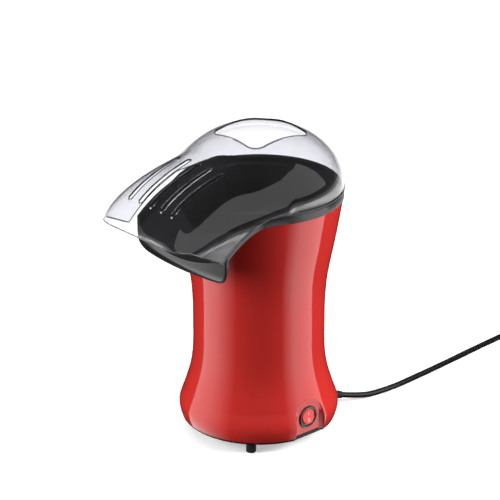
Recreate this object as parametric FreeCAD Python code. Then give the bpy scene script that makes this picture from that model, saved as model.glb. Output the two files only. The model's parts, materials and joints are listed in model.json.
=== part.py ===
import FreeCAD, Part
import math
import os

# Hot-air popcorn maker. Millimetres, +Z up, origin on the table under the body's axis.
# The spout points along -Y, the switch along +X and the lead leaves at the back, +Y.

V = FreeCAD.Vector
UP = V(0, 0, 1)
ORIGIN = V(0, 0, 0)

# Clearances
PART_LINE = 0.3
LIFT_GAP = 0.4
RUN_GAP = 0.05
SLIP_GAP = 0.3

# Red housing, an hourglass of revolution
WALL = 2.5
FOOT_HEIGHT = 11.6
BASE_RADIUS = 77.6
BULGE_RADIUS = 80.1
BULGE_Z = 25.0
ANKLE_RADIUS = 74.6
ANKLE_Z = 44.5
CALF_RADIUS = 69.0
CALF_Z = 64.0
WAIST_RADIUS = 65.8
WAIST_Z = 116.0
CHEST_RADIUS = 67.2
CHEST_Z = 155.0
FLARE_DRAW = 6.3
FLARE_Z = 210.0

# Base plate and feet
PLATE_THICK = 3.9
PLATE_LINE = 2.4
PLATE_INSET = 0.6
INLET_SLOTS = 8
INLET_LENGTH = 26.0
INLET_WIDTH = 4.0
INLET_RADIUS = 44.0
FOOT_RADIUS = 5.0
FOOT_SPREAD = 68.0
FOOT_ANGLES = (-48.0, -132.0, 132.0, 48.0)

# Black upper piece: rim, bowl and spout
RIM_TOP = 258.0
BAND = 10.4
RIM_RADIUS = 84.2
RIM_WALL = 4.0
RIM_BORE = RIM_RADIUS - RIM_WALL
RIM_STEP = 1.2
HOUSING_TOP_RADIUS = RIM_RADIUS - RIM_STEP
FLARE_RADIUS = HOUSING_TOP_RADIUS - FLARE_DRAW
SEAT_DEPTH = 7.0
SEAT_LEDGE = 4.2
BOWL_TOP_RADIUS = RIM_BORE - SEAT_LEDGE
BOWL_WALL = 2.5
BOWL_DRAFT = 4.5
BOWL_TURN_Z = 222.0
BOWL_FUNNEL_Z = 203.0
BOWL_FUNNEL_DRAW = 9.5
MOUTH_RADIUS = 46.0
MOUTH_Z = 190.0
SPOUT_START = -46.5
SPOUT_END = -100.0
SPOUT_DROP = 25.0
SPOUT_HALF_WIDTH = 66.0
SPOUT_BLEND = -69.0
SPOUT_ROOT = -38.0
SPOUT_ROOT_FLARE = 5.0
SPOUT_SKIRT = 0.6
SPOUT_WALL = 3.0
SPOUT_SAG = 15.0
SPOUT_LIP_SAG = 6.0
LIP_APEX = -107.5
LIP_BOW_RADIUS = 278.0
LIP_BOTTOM = 202.5
LIP_CORNER = 15.0

# Clear cover: dome and visor
COVER_WALL = 2.5
DOME_STEP = 0.8
DOME_RADIUS = RIM_RADIUS - DOME_STEP
DOME_HEIGHT = 62.0
DOME_POWER = 2.05
VISOR_REACH = 152.0
VISOR_HALF_WIDTH = 70.0
VISOR_BASE_Z = 243.0
VISOR_HEIGHT = 66.0
VISOR_POWER = 2.2
VISOR_CORNER_Z = 240.5
VISOR_CORNER_Y = -138.5
VISOR_DIP_Z = 225.0
VISOR_DIP_Y = -109.0
VISOR_CLEAR = 9.0
COVER_BLEND = 10.0
OPENING_HALF_X = 34.0
OPENING_FRONT = -35.5
OPENING_BACK = 39.7
OPENING_CORNER = 13.0
SLOT_COUNT = 5
SLOT_PITCH = 15.4
SLOT_HALF_WIDTH = 2.8
SLOT_TOP_Y = -77.0
SLOT_END_Y = -134.5
LIFT_SKIRT = 5.0
SKIRT_BACK = 10.0

# Chamber, duct and heater
CHAMBER_RADIUS = 46.0
CHAMBER_SHEET = 1.2
CHAMBER_BOTTOM_Z = 112.0
CHAMBER_FLANGE = 5.0
CHAMBER_DOME = 6.0
LOUVRE_COUNT = 16
LOUVRE_HEIGHT = 12.0
LOUVRE_WIDTH = 2.0
LOUVRE_TILT = 35.0
LOUVRE_Z = 124.0
RING_HEIGHT = 8.0
DUCT_RADIUS = 55.0
DUCT_WALL = 2.0
DUCT_BOTTOM_Z = 54.0
HEATER_Z = 84.0
HEATER_BOARD = 1.0
HEATER_BOARD_HEIGHT = 18.0
WIRE_DIAMETER = 2.0
WIRE_TURNS = 4
WIRE_PITCH = 7.0
WIRE_INNER_RADIUS = 14.0
THERMOSTAT_RADIUS = 7.0
THERMOSTAT_THICK = 5.0
FUSE_RADIUS = 1.6
FUSE_LENGTH = 12.0
CUTOUT_Z = 100.0

# Motor and fan
MOTOR_RADIUS = 17.5
MOTOR_BOTTOM_Z = 28.0
MOTOR_HEIGHT = 24.0
BELL_HEIGHT = 4.0
SHAFT_RADIUS = 1.6
SHAFT_BOTTOM_Z = 20.0
FAN_RADIUS = 44.0
FAN_Z = 58.0
FAN_HEIGHT = 12.0
FAN_DISC = 1.5
FAN_BLADES = 12
FAN_BLADE_THICK = 1.4
FAN_HUB_RADIUS = 6.0
BRACKET_THICK = 2.5
BRACKET_ARM = 12.0
BOARD_SIZE = (26.0, 16.0, 1.6)
BOARD_PLACE = (-48.0, 4.0)
POST_RADIUS = 2.5
POST_HEIGHT = 5.0
DIODE_RADIUS = 1.4
DIODE_LENGTH = 5.0
SCREW_RADIUS = 1.5
SCREW_HEAD_RADIUS = 3.0
SCREW_HEAD = 1.8
SCREW_LENGTH = 8.0

# Rocker switch in its arch-topped recess
RECESS_HALF_WIDTH = 18.0
RECESS_X = 72.0
SWITCH_Z = 32.0
BEZEL_RADIUS = 12.5
BEZEL_THICK = 2.6
BARREL_RADIUS = 9.9
BARREL_LENGTH = 17.0
BARREL_BORE = 8.8
ROCKER_RADIUS = 8.4
ROCKER_FACE = 4.0
ROCKER_TILT = 8.0
PIVOT_BACK = 1.0
PIN_RADIUS = 1.0

# Lead: strain relief, run, coil, tie and plug
CORD_DIAMETER = 5.8
EXIT_ANGLE = 74.0
EXIT_Z = 14.5
EXIT_FALL = 15.0
RELIEF_LENGTH = 16.0
RELIEF_STEP = 1.0
RELIEF_INSIDE = 5.0
RELIEF_ROOT_RADIUS = 5.0
RELIEF_TIP_RADIUS = 3.9
CORD_ROUTE = ((37.0, 137.0), (38.2, 158.0), (37.0, 181.0), (34.8, 217.0), (31.0, 262.0), (27.0, 308.0),
              (24.5, 352.0))
COIL_CENTRE = (-2.0, 432.0)
COIL_MID_RADIUS = 33.0
COIL_GAP = 1.5
COIL_TURNS = 2
COIL_START_ANGLE = -20.0
COIL_LAST_TURN = 4.25
TAIL_LENGTH = 14.5
TAIL_DROP = 4.5
CORD_FLOOR_GAP = 0.4
TIE_WIDTH = 9.0
TIE_THICK = 1.2
PLUG_LENGTH = 36.0
PLUG_RADIUS = 6.5
PLUG_NECK_WALL = 1.2
PLUG_WING = 4.5
PLUG_WING_THICK = 11.0
PLUG_WING_FILLET = 4.0
PLUG_PIN_RADIUS = 2.0
PLUG_PIN_LENGTH = 19.0
PLUG_PIN_SPREAD = 18.6


def revolve(points):
    """Solid of revolution about Z of a closed polygon of (radius, z)."""
    ring = [V(r, 0, z) for r, z in points]
    face = Part.Face(Part.makePolygon(ring + ring[:1]))
    return face.revolve(ORIGIN, UP, 360)


def cylinder(radius, height, base, axis=UP):
    return Part.makeCylinder(radius, height, base, axis)


def tube(outer, inner, height, base, axis=UP):
    return cylinder(outer, height, base, axis).cut(cylinder(inner, height, base, axis))


def polar(radius, angle, z):
    turn = math.radians(angle)
    return V(radius * math.cos(turn), radius * math.sin(turn), z)


def turned(shape, angle):
    copy = shape.copy()
    copy.rotate(ORIGIN, UP, angle)
    return copy


def stadium(x, y_low, y_high, half_width, z_low, z_high):
    """Upright prism of a round-ended slot that runs along Y."""
    mid = Part.makeBox(2 * half_width, y_high - y_low, z_high - z_low, V(x - half_width, y_low, z_low))
    for y in (y_low, y_high):
        mid = mid.fuse(cylinder(half_width, z_high - z_low, V(x, y, z_low)))
    return mid.removeSplitter()


# Edge line of the rim and the spout walls

def edge_z(y):
    """Height of the upper piece's top edge: level at the rim, then a falling parabola."""
    if y >= SPOUT_START:
        return RIM_TOP
    share = (SPOUT_START - y) / (SPOUT_START - SPOUT_END)
    return RIM_TOP - SPOUT_DROP * share ** 2


def spout_width(y):
    """Half width of the spout, which leaves the rim in a smooth curve."""
    if y <= SPOUT_BLEND:
        return SPOUT_HALF_WIDTH
    share = (y - SPOUT_BLEND) / (SPOUT_ROOT - SPOUT_BLEND)
    return SPOUT_HALF_WIDTH + SPOUT_ROOT_FLARE * share ** 2


def above_edge(lift, far):
    """Everything above the edge line, moved up by lift, as a prism across X."""
    fall_end = LIP_APEX - 10
    tip_share = (SPOUT_START - fall_end) / (SPOUT_START - SPOUT_END)
    bend = Part.BezierCurve()
    middle = (SPOUT_START + fall_end) / 2
    bend.setPoles([V(-far, SPOUT_START, RIM_TOP + lift), V(-far, middle, RIM_TOP + lift),
                   V(-far, fall_end, RIM_TOP - SPOUT_DROP * tip_share ** 2 + lift)])
    start, end = bend.value(0), bend.value(1)
    corners = [end, V(-far, fall_end, 2 * RIM_TOP), V(-far, far, 2 * RIM_TOP),
               V(-far, far, RIM_TOP + lift), start]
    wire = Part.Wire([bend.toShape()] + Part.makePolygon(corners).Edges)
    return Part.Face(wire).extrude(V(2 * far, 0, 0))


def channel(inset, y_back, y_front, ruled, stations=10):
    """Filled round-bottomed trough of the spout, drawn in by inset."""
    wires = []
    for i in range(stations):
        y = y_back + (y_front - y_back) * i / (stations - 1)
        half = spout_width(y) - inset
        low = edge_z(y) - BAND - SPOUT_SKIRT + inset
        top = RIM_TOP + SPOUT_DROP
        share = (SPOUT_ROOT - y) / (SPOUT_ROOT - LIP_APEX)
        sag = SPOUT_SAG + (SPOUT_LIP_SAG - SPOUT_SAG) * share
        floor = Part.Arc(V(-half, y, low), V(0, y, low - sag), V(half, y, low)).toShape()
        sides = Part.makePolygon([V(half, y, low), V(half, y, top), V(-half, y, top), V(-half, y, low)])
        wires.append(Part.Wire([floor] + sides.Edges))
    return Part.makeLoft(wires, True, ruled)


def bow(radius, z_low, z_high):
    """Upright cylinder whose front is the bowed lip line."""
    return cylinder(radius, z_high - z_low, V(0, LIP_APEX + LIP_BOW_RADIUS, z_low))


# Housing and base

def housing_radius_curve(inset):
    points = [V(BASE_RADIUS - inset, 0, FOOT_HEIGHT + PLATE_LINE),
              V(BULGE_RADIUS - inset, 0, BULGE_Z),
              V(ANKLE_RADIUS - inset, 0, ANKLE_Z),
              V(CALF_RADIUS - inset, 0, CALF_Z),
              V(WAIST_RADIUS - inset, 0, WAIST_Z),
              V(CHEST_RADIUS - inset, 0, CHEST_Z),
              V(FLARE_RADIUS - inset, 0, FLARE_Z),
              V(HOUSING_TOP_RADIUS - inset, 0, RIM_TOP - BAND - PART_LINE)]
    curve = Part.BSplineCurve()
    curve.interpolate(points)
    return curve


def recess_prism(half_width, x_low, x_high, z_low):
    """Arch-topped prism along X for the switch recess."""
    block = Part.makeBox(x_high - x_low, 2 * half_width, SWITCH_Z - z_low, V(x_low, -half_width, z_low))
    return block.fuse(cylinder(half_width, x_high - x_low, V(x_low, 0, SWITCH_Z), V(1, 0, 0)))


def outer_housing():
    outer = housing_radius_curve(0)
    inner = housing_radius_curve(WALL)
    foot = Part.makeLine(outer.StartPoint, inner.StartPoint)
    top = Part.makeLine(outer.EndPoint, inner.EndPoint)
    face = Part.Face(Part.Wire([outer.toShape(), top, inner.toShape(), foot]))
    shell = face.revolve(ORIGIN, UP, 360)
    shell = shell.cut(channel(-PART_LINE, SPOUT_ROOT, LIP_APEX, False, 7))
    back_x = RECESS_X - WALL
    bottom = FOOT_HEIGHT + PLATE_LINE
    core = [outer.EndPoint, V(0, 0, outer.EndPoint.z), V(0, 0, bottom), outer.StartPoint]
    filled = Part.Face(Part.Wire([outer.toShape()] + Part.makePolygon(core).Edges)).revolve(ORIGIN, UP, 360)
    panel = recess_prism(RECESS_HALF_WIDTH + WALL, back_x, BULGE_RADIUS, bottom).common(filled)
    shell = shell.fuse(panel).cut(recess_prism(RECESS_HALF_WIDTH, RECESS_X, 2 * BULGE_RADIUS, 0))
    shell = shell.cut(cylinder(BARREL_RADIUS + PART_LINE, BARREL_LENGTH, V(back_x - 1, 0, SWITCH_Z), V(1, 0, 0)))
    shell = shell.cut(relief_hole())
    return shell.removeSplitter()


def plate_radius():
    return BASE_RADIUS - WALL - SLIP_GAP


def base_plate():
    low = FOOT_HEIGHT
    plate = cylinder(BASE_RADIUS - PLATE_INSET, PLATE_LINE, V(0, 0, low))
    plate = plate.fuse(cylinder(plate_radius(), PLATE_THICK - PLATE_LINE, V(0, 0, low + PLATE_LINE)))
    slot = stadium(0, INLET_RADIUS - INLET_LENGTH / 2, INLET_RADIUS + INLET_LENGTH / 2, INLET_WIDTH / 2,
                   low - 1, low + PLATE_THICK + 1)
    for i in range(INLET_SLOTS):
        plate = plate.cut(turned(slot, 360 * (i + 0.5) / INLET_SLOTS))
    for angle in FOOT_ANGLES:
        plate = plate.cut(cylinder(FOOT_RADIUS / 2, PLATE_THICK + 2, polar(FOOT_SPREAD, angle, low - 1)))
    plate = plate.cut(recess_prism(RECESS_HALF_WIDTH + WALL + SLIP_GAP, RECESS_X - WALL - SLIP_GAP,
                                   2 * BULGE_RADIUS, low + PLATE_LINE))
    plate = plate.cut(relief_hole())
    for x, y in bracket_feet():
        plate = plate.cut(cylinder(SCREW_RADIUS, PLATE_THICK + 2, V(x, y, low - 1)))
    for x, y in board_posts():
        plate = plate.fuse(cylinder(POST_RADIUS, POST_HEIGHT, V(x, y, low + PLATE_THICK)))
    return plate.removeSplitter()


def foot(angle):
    stem = cylinder(FOOT_RADIUS / 2, PLATE_THICK, polar(FOOT_SPREAD, angle, FOOT_HEIGHT))
    pad = cylinder(FOOT_RADIUS, FOOT_HEIGHT, polar(FOOT_SPREAD, angle, 0))
    pad = pad.makeFillet(1.0, [e for e in pad.Edges if e.BoundBox.ZMax < 0.1])
    return pad.fuse(stem)


# Upper piece

def bowl_profile(inset, top):
    upper = BOWL_TOP_RADIUS + inset
    return [(0, MOUTH_Z), (MOUTH_RADIUS + inset, MOUTH_Z), (upper - BOWL_FUNNEL_DRAW, BOWL_FUNNEL_Z),
            (upper - BOWL_DRAFT, BOWL_TURN_Z), (upper, RIM_TOP - BAND), (upper, top), (0, top)]


def upper_chute():
    above = RIM_TOP + 4
    band_low = RIM_TOP - BAND
    body = revolve(bowl_profile(BOWL_WALL, above))
    body = body.fuse(cylinder(RIM_RADIUS, above - band_low, V(0, 0, band_low)))
    body = body.fuse(channel(0, SPOUT_ROOT, LIP_APEX - 2, True))
    lip_depth = LIP_CORNER + SPOUT_DROP
    lip_width = 2 * SPOUT_HALF_WIDTH
    lip = Part.makeBox(lip_width, lip_depth, RIM_TOP - LIP_BOTTOM,
                       V(-SPOUT_HALF_WIDTH, LIP_APEX - 2, LIP_BOTTOM))
    corners = [e for e in lip.Edges if e.BoundBox.ZMax < LIP_BOTTOM + 0.1 and e.BoundBox.YLength > 1]
    lip = lip.makeFillet(LIP_CORNER, corners)
    lip_band = bow(LIP_BOW_RADIUS, LIP_BOTTOM - 1, above).cut(
        bow(LIP_BOW_RADIUS - SPOUT_WALL, LIP_BOTTOM - 2, above + 1))
    body = body.fuse(lip.common(lip_band)).common(bow(LIP_BOW_RADIUS, 0, above + 1))
    body = body.cut(revolve(bowl_profile(0, above + 1)))
    body = body.cut(channel(SPOUT_WALL, SPOUT_ROOT, LIP_APEX - 10, True))
    seat = cylinder(RIM_BORE, SEAT_DEPTH + 10, V(0, 0, RIM_TOP - SEAT_DEPTH))
    body = body.cut(seat)
    body = body.cut(above_edge(0, 2 * RIM_RADIUS))
    return body.removeSplitter()


# Clear cover

def cover_section(z, inset):
    """Level section of the cover: the dome's circle blended with the visor's rounded front."""
    rise = min(max((z - RIM_TOP) / (DOME_HEIGHT - inset), 0.0), 0.999)
    dome = (DOME_RADIUS - inset) * (1 - rise ** DOME_POWER) ** (1 / DOME_POWER)
    lift = min(max((z - VISOR_BASE_Z) / (VISOR_HEIGHT - inset), 0.0), 0.999)
    shrink = (1 - lift ** VISOR_POWER) ** (1 / VISOR_POWER)
    half = (VISOR_HALF_WIDTH - inset) * shrink
    reach = (VISOR_REACH - inset) * shrink
    square = 3.0 + 6.0 * (1 - lift) ** 2
    points = []
    count = 40
    for i in range(count):
        turn = 2 * math.pi * i / count
        c, s = math.cos(turn), math.sin(turn)
        radius = dome
        if s < 0:
            tongue = (abs(c / half) ** square + abs(s / reach) ** square) ** (-1 / square)
            radius = (dome ** COVER_BLEND + tongue ** COVER_BLEND) ** (1 / COVER_BLEND)
        points.append(V(radius * c, radius * s, z))
    curve = Part.BSplineCurve()
    curve.interpolate(points, True)
    return Part.Wire([curve.toShape()])


def cover_block(inset):
    levels = [0.0, 0.18, 0.34, 0.48, 0.60, 0.71, 0.80, 0.88, 0.94, 0.985]
    crown = DOME_HEIGHT - inset
    heights = [VISOR_DIP_Z - 10 - inset, VISOR_BASE_Z] + [RIM_TOP + crown * level for level in levels]
    return Part.makeLoft([cover_section(z, inset) for z in heights], True, True)


def below_visor(far):
    """Everything below the visor's own lower edge, in front of the spout walls."""
    front = VISOR_DIP_Y + 2
    points = [V(-far, front, 0), V(-far, front, VISOR_DIP_Z), V(-far, VISOR_DIP_Y, VISOR_DIP_Z),
              V(-far, VISOR_CORNER_Y, VISOR_CORNER_Z), V(-far, -far, VISOR_CORNER_Z), V(-far, -far, 0)]
    return Part.Face(Part.makePolygon(points + points[:1])).extrude(V(2 * far, 0, 0))


def clear_cover():
    far = 2 * VISOR_REACH
    shell = cover_block(0).cut(cover_block(COVER_WALL))
    keep = above_edge(LIFT_GAP, far)
    front = Part.makeBox(2 * far, far, 2 * far, V(-far, LIP_APEX - VISOR_CLEAR - far, 0))
    shell = shell.common(keep.fuse(front)).cut(below_visor(far))
    opening = Part.makeBox(2 * OPENING_HALF_X, OPENING_BACK - OPENING_FRONT, far,
                           V(-OPENING_HALF_X, OPENING_FRONT, RIM_TOP + DOME_HEIGHT / 2))
    opening = opening.makeFillet(OPENING_CORNER, [e for e in opening.Edges if e.BoundBox.ZLength > far / 2])
    shell = shell.cut(opening)
    for i in range(SLOT_COUNT):
        x = (i - (SLOT_COUNT - 1) / 2) * SLOT_PITCH
        shell = shell.cut(stadium(x, SLOT_END_Y, SLOT_TOP_Y, SLOT_HALF_WIDTH, RIM_TOP + 6, 2 * RIM_TOP))
    skirt_outer = RIM_BORE - LIFT_GAP
    skirt = tube(skirt_outer, skirt_outer - COVER_WALL, LIFT_SKIRT + LIFT_GAP + 1, V(0, 0, RIM_TOP - LIFT_SKIRT))
    behind = Part.makeBox(2 * far, far, far, V(-far, SPOUT_ROOT + SKIRT_BACK, 0))
    ledge = tube(DOME_RADIUS - 0.5, skirt_outer - COVER_WALL, 1.5, V(0, 0, RIM_TOP + LIFT_GAP))
    shell = shell.fuse(skirt.fuse(ledge).common(behind))
    return shell.removeSplitter()


# Chamber, ring, duct and heater

def popping_chamber():
    top = MOUTH_Z
    inner = CHAMBER_RADIUS - CHAMBER_SHEET
    cup = revolve([(0, CHAMBER_BOTTOM_Z + CHAMBER_DOME), (inner / 2, CHAMBER_BOTTOM_Z), (CHAMBER_RADIUS, CHAMBER_BOTTOM_Z),
                   (CHAMBER_RADIUS, top - CHAMBER_SHEET), (CHAMBER_RADIUS + CHAMBER_FLANGE, top - CHAMBER_SHEET),
                   (CHAMBER_RADIUS + CHAMBER_FLANGE, top), (inner, top), (inner, CHAMBER_BOTTOM_Z + CHAMBER_SHEET),
                   (inner / 2, CHAMBER_BOTTOM_Z + CHAMBER_SHEET), (0, CHAMBER_BOTTOM_Z + CHAMBER_DOME + CHAMBER_SHEET)])
    louvre = Part.makeBox(4 * CHAMBER_SHEET, LOUVRE_WIDTH, LOUVRE_HEIGHT,
                          V(CHAMBER_RADIUS - 2.5 * CHAMBER_SHEET, -LOUVRE_WIDTH / 2, LOUVRE_Z))
    louvre.rotate(V(CHAMBER_RADIUS, 0, LOUVRE_Z + LOUVRE_HEIGHT / 2), V(1, 0, 0), LOUVRE_TILT)
    for i in range(LOUVRE_COUNT):
        cup = cup.cut(turned(louvre, 360 * i / LOUVRE_COUNT))
    return cup


def chamber_ring():
    low = MOUTH_Z - CHAMBER_SHEET - RING_HEIGHT
    return tube(DUCT_RADIUS - DUCT_WALL, CHAMBER_RADIUS, RING_HEIGHT, V(0, 0, low))


def air_duct():
    top = MOUTH_Z - CHAMBER_SHEET - 2
    return tube(DUCT_RADIUS, DUCT_RADIUS - DUCT_WALL, top - DUCT_BOTTOM_Z, V(0, 0, DUCT_BOTTOM_Z))


def heater_former():
    span = 2 * (DUCT_RADIUS - DUCT_WALL)
    board = Part.makeBox(span, HEATER_BOARD, HEATER_BOARD_HEIGHT, V(-span / 2, -HEATER_BOARD / 2, HEATER_Z))
    cross = board.fuse(turned(board, 90))
    cross = cross.common(cylinder(span / 2, HEATER_BOARD_HEIGHT, V(0, 0, HEATER_Z)))
    return cross.removeSplitter()


def heater_wire():
    """Flat spiral of half circles that stands on the former's top edges."""
    z = HEATER_Z + HEATER_BOARD_HEIGHT + WIRE_DIAMETER / 2
    edges = []
    start = V(WIRE_INNER_RADIUS, 0, z)
    side = 1
    for i in range(2 * WIRE_TURNS):
        radius = WIRE_INNER_RADIUS + WIRE_PITCH / 4 + i * WIRE_PITCH / 2
        end = V(start.x - side * 2 * radius, 0, z)
        crest = V((start.x + end.x) / 2, side * radius, z)
        edges.append(Part.Arc(start, crest, end).toShape())
        start = end
        side = -side
    return pipe(edges, WIRE_DIAMETER)


def thermostat():
    return cylinder(THERMOSTAT_RADIUS, THERMOSTAT_THICK, V(-DUCT_RADIUS, 0, CUTOUT_Z), V(-1, 0, 0)).cut(
        air_duct_filled())


def air_duct_filled():
    return cylinder(DUCT_RADIUS, 3 * CUTOUT_Z, ORIGIN)


def thermal_fuse():
    place = polar(DUCT_RADIUS + FUSE_RADIUS, 120, CUTOUT_Z - FUSE_LENGTH / 2)
    return cylinder(FUSE_RADIUS, FUSE_LENGTH, place)


# Motor, fan and supply

def motor_top():
    return MOTOR_BOTTOM_Z + MOTOR_HEIGHT


def motor_can():
    can = cylinder(MOTOR_RADIUS, MOTOR_HEIGHT, V(0, 0, MOTOR_BOTTOM_Z))
    can = can.makeFillet(2.0, [e for e in can.Edges if e.BoundBox.ZMin > motor_top() - 0.1])
    return can.cut(cylinder(SHAFT_RADIUS + RUN_GAP, MOTOR_HEIGHT + 2, V(0, 0, MOTOR_BOTTOM_Z - 1)))


def motor_end_bell():
    return tube(MOTOR_RADIUS - 1, SHAFT_RADIUS + RUN_GAP, BELL_HEIGHT, V(0, 0, MOTOR_BOTTOM_Z - BELL_HEIGHT))


def motor_shaft():
    return cylinder(SHAFT_RADIUS, FAN_Z + FAN_HEIGHT - SHAFT_BOTTOM_Z, V(0, 0, SHAFT_BOTTOM_Z))


def bracket_feet():
    reach = MOTOR_RADIUS + BRACKET_ARM
    return [(0, reach), (0, -reach)]


def motor_bracket():
    low = FOOT_HEIGHT + PLATE_THICK
    ring = tube(MOTOR_RADIUS + BRACKET_THICK, MOTOR_RADIUS, MOTOR_HEIGHT / 2, V(0, 0, MOTOR_BOTTOM_Z))
    for x, y in bracket_feet():
        side = 1 if y > 0 else -1
        near = min(side * MOTOR_RADIUS, side * (MOTOR_RADIUS + BRACKET_THICK))
        wall = Part.makeBox(BRACKET_ARM, BRACKET_THICK, MOTOR_BOTTOM_Z + MOTOR_HEIGHT / 2 - low,
                            V(-BRACKET_ARM / 2, near, low))
        far = min(side * MOTOR_RADIUS, y + side * BRACKET_ARM / 2)
        flat = Part.makeBox(BRACKET_ARM, 1.5 * BRACKET_ARM, BRACKET_THICK, V(-BRACKET_ARM / 2, far, low))
        ring = ring.fuse(wall).fuse(flat)
    ring = ring.cut(cylinder(MOTOR_RADIUS, MOTOR_HEIGHT, V(0, 0, MOTOR_BOTTOM_Z)))
    ring = ring.cut(cylinder(MOTOR_RADIUS - 1, BELL_HEIGHT, V(0, 0, MOTOR_BOTTOM_Z - BELL_HEIGHT)))
    for x, y in bracket_feet():
        ring = ring.cut(cylinder(SCREW_RADIUS, BRACKET_THICK + 2, V(x, y, low - 1)))
    return ring.removeSplitter()


def bracket_screws():
    screws = []
    for x, y in bracket_feet():
        low = FOOT_HEIGHT - SCREW_HEAD
        head = cylinder(SCREW_HEAD_RADIUS, SCREW_HEAD, V(x, y, low))
        screws.append(head.fuse(cylinder(SCREW_RADIUS, SCREW_LENGTH, V(x, y, FOOT_HEIGHT))))
    return Part.makeCompound(screws)


def fan_impeller():
    disc = cylinder(FAN_RADIUS, FAN_DISC, V(0, 0, FAN_Z))
    disc = disc.fuse(cylinder(FAN_HUB_RADIUS, FAN_HEIGHT, V(0, 0, FAN_Z)))
    length = FAN_RADIUS - FAN_HUB_RADIUS
    blade = Part.makeBox(length, FAN_BLADE_THICK, FAN_HEIGHT, V(FAN_HUB_RADIUS - 1, 0, FAN_Z))
    blade.rotate(V(FAN_HUB_RADIUS, 0, FAN_Z), UP, 20)
    blade = blade.common(cylinder(FAN_RADIUS, FAN_HEIGHT, V(0, 0, FAN_Z)))
    for i in range(FAN_BLADES):
        disc = disc.fuse(turned(blade, 360 * i / FAN_BLADES))
    return disc.cut(cylinder(SHAFT_RADIUS, FAN_HEIGHT, V(0, 0, FAN_Z))).removeSplitter()


def board_posts():
    x, y = BOARD_PLACE
    return [(x, y - BOARD_SIZE[0] / 3), (x, y + BOARD_SIZE[0] / 3)]


def rectifier_board():
    x, y = BOARD_PLACE
    length, width, thick = BOARD_SIZE
    low = FOOT_HEIGHT + PLATE_THICK + POST_HEIGHT
    board = Part.makeBox(width, length, thick, V(x - width / 2, y - length / 2, low))
    for i in range(4):
        place = V(x - DIODE_LENGTH / 2, y + (i - 1.5) * length / 5, low + thick + DIODE_RADIUS * 0.8)
        board = board.fuse(cylinder(DIODE_RADIUS, DIODE_LENGTH, place, V(1, 0, 0)))
    return board


# Switch

def switch_body():
    x = RECESS_X
    axis = V(1, 0, 0)
    bezel = cylinder(BEZEL_RADIUS, BEZEL_THICK, V(x, 0, SWITCH_Z), axis)
    bezel = bezel.makeFillet(1.2, [e for e in bezel.Edges if e.BoundBox.XMin > x + BEZEL_THICK - 0.1])
    barrel = cylinder(BARREL_RADIUS, BARREL_LENGTH, V(x - BARREL_LENGTH, 0, SWITCH_Z), axis)
    body = bezel.fuse(barrel)
    depth = ROCKER_RADIUS + PIVOT_BACK + 2
    body = body.cut(cylinder(BARREL_BORE, depth + BEZEL_THICK, V(x - depth, 0, SWITCH_Z), axis))
    return body.cut(pivot_pin(0)).removeSplitter()


def pivot_x():
    return RECESS_X - PIVOT_BACK


def pivot_pin(grow):
    length = 2 * BARREL_RADIUS - 0.6
    return cylinder(PIN_RADIUS + grow, length, V(pivot_x(), -length / 2, SWITCH_Z), V(0, 1, 0))


def switch_rocker():
    centre = V(pivot_x(), 0, SWITCH_Z)
    ball = Part.makeSphere(ROCKER_RADIUS, centre)
    slab = Part.makeBox(2 * ROCKER_FACE, 4 * ROCKER_RADIUS, 4 * ROCKER_RADIUS,
                        V(centre.x - ROCKER_FACE, -2 * ROCKER_RADIUS, centre.z - 2 * ROCKER_RADIUS))
    rocker = ball.common(slab).cut(pivot_pin(RUN_GAP))
    rocker.rotate(centre, V(0, 1, 0), -ROCKER_TILT)
    return rocker


# Lead

def pipe(edges, diameter):
    wire = Part.Wire(edges)
    start = wire.Edges[0]
    tangent = start.tangentAt(start.FirstParameter)
    ring = Part.Wire([Part.Circle(start.valueAt(start.FirstParameter), tangent, diameter / 2).toShape()])
    return wire.makePipeShell([ring], True, False)


def exit_direction():
    return polar(1, EXIT_ANGLE, -math.tan(math.radians(EXIT_FALL))).normalize()


def exit_point(distance):
    root = polar(BASE_RADIUS, EXIT_ANGLE, EXIT_Z)
    return root + exit_direction() * distance


def relief_hole():
    inside = RELIEF_INSIDE + RELIEF_STEP
    return cylinder(RELIEF_ROOT_RADIUS, 2 * inside, exit_point(-inside), exit_direction())


def strain_relief():
    plug = cylinder(RELIEF_ROOT_RADIUS, RELIEF_INSIDE + RELIEF_STEP, exit_point(-RELIEF_INSIDE), exit_direction())
    cone = Part.makeCone(RELIEF_ROOT_RADIUS, RELIEF_TIP_RADIUS, RELIEF_LENGTH, exit_point(RELIEF_STEP),
                         exit_direction())
    return plug.fuse(cone).removeSplitter()


def cord_floor():
    return CORD_DIAMETER / 2 + CORD_FLOOR_GAP


def cord_route():
    """Route of the lead from the strain relief to the coil, chosen by hand."""
    tip = exit_point(RELIEF_LENGTH + RELIEF_STEP)
    straight = (tip.z - cord_floor()) / math.sin(math.radians(EXIT_FALL))
    points = [tip, tip + exit_direction() * straight]
    for x, y in CORD_ROUTE:
        points.append(V(x, y, cord_floor()))
    points.append(coil_point(-0.35))
    points.append(coil_point(0))
    return points


def rounded_path(points):
    """Straight runs joined by tangent arcs as large as the runs allow."""
    edges = []
    here = points[0]
    for i in range(1, len(points) - 1):
        back = points[i - 1] - points[i]
        ahead = points[i + 1] - points[i]
        shorter = min(back.Length, ahead.Length)
        cut = 0.45 * shorter
        back.normalize()
        ahead.normalize()
        turn = math.pi - back.getAngle(ahead)
        radius = cut / math.tan(turn / 2)
        first = points[i] + back * cut
        last = points[i] + ahead * cut
        inward = back + ahead
        inward.normalize()
        middle = points[i] + inward * (radius / math.cos(turn / 2) - radius)
        edges.append(Part.makeLine(here, first))
        edges.append(Part.Arc(first, middle, last).toShape())
        print("cord radius", round(radius, 1), "turn", round(math.degrees(turn), 1))
        here = last
    edges.append(Part.makeLine(here, points[-1]))
    return edges


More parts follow.
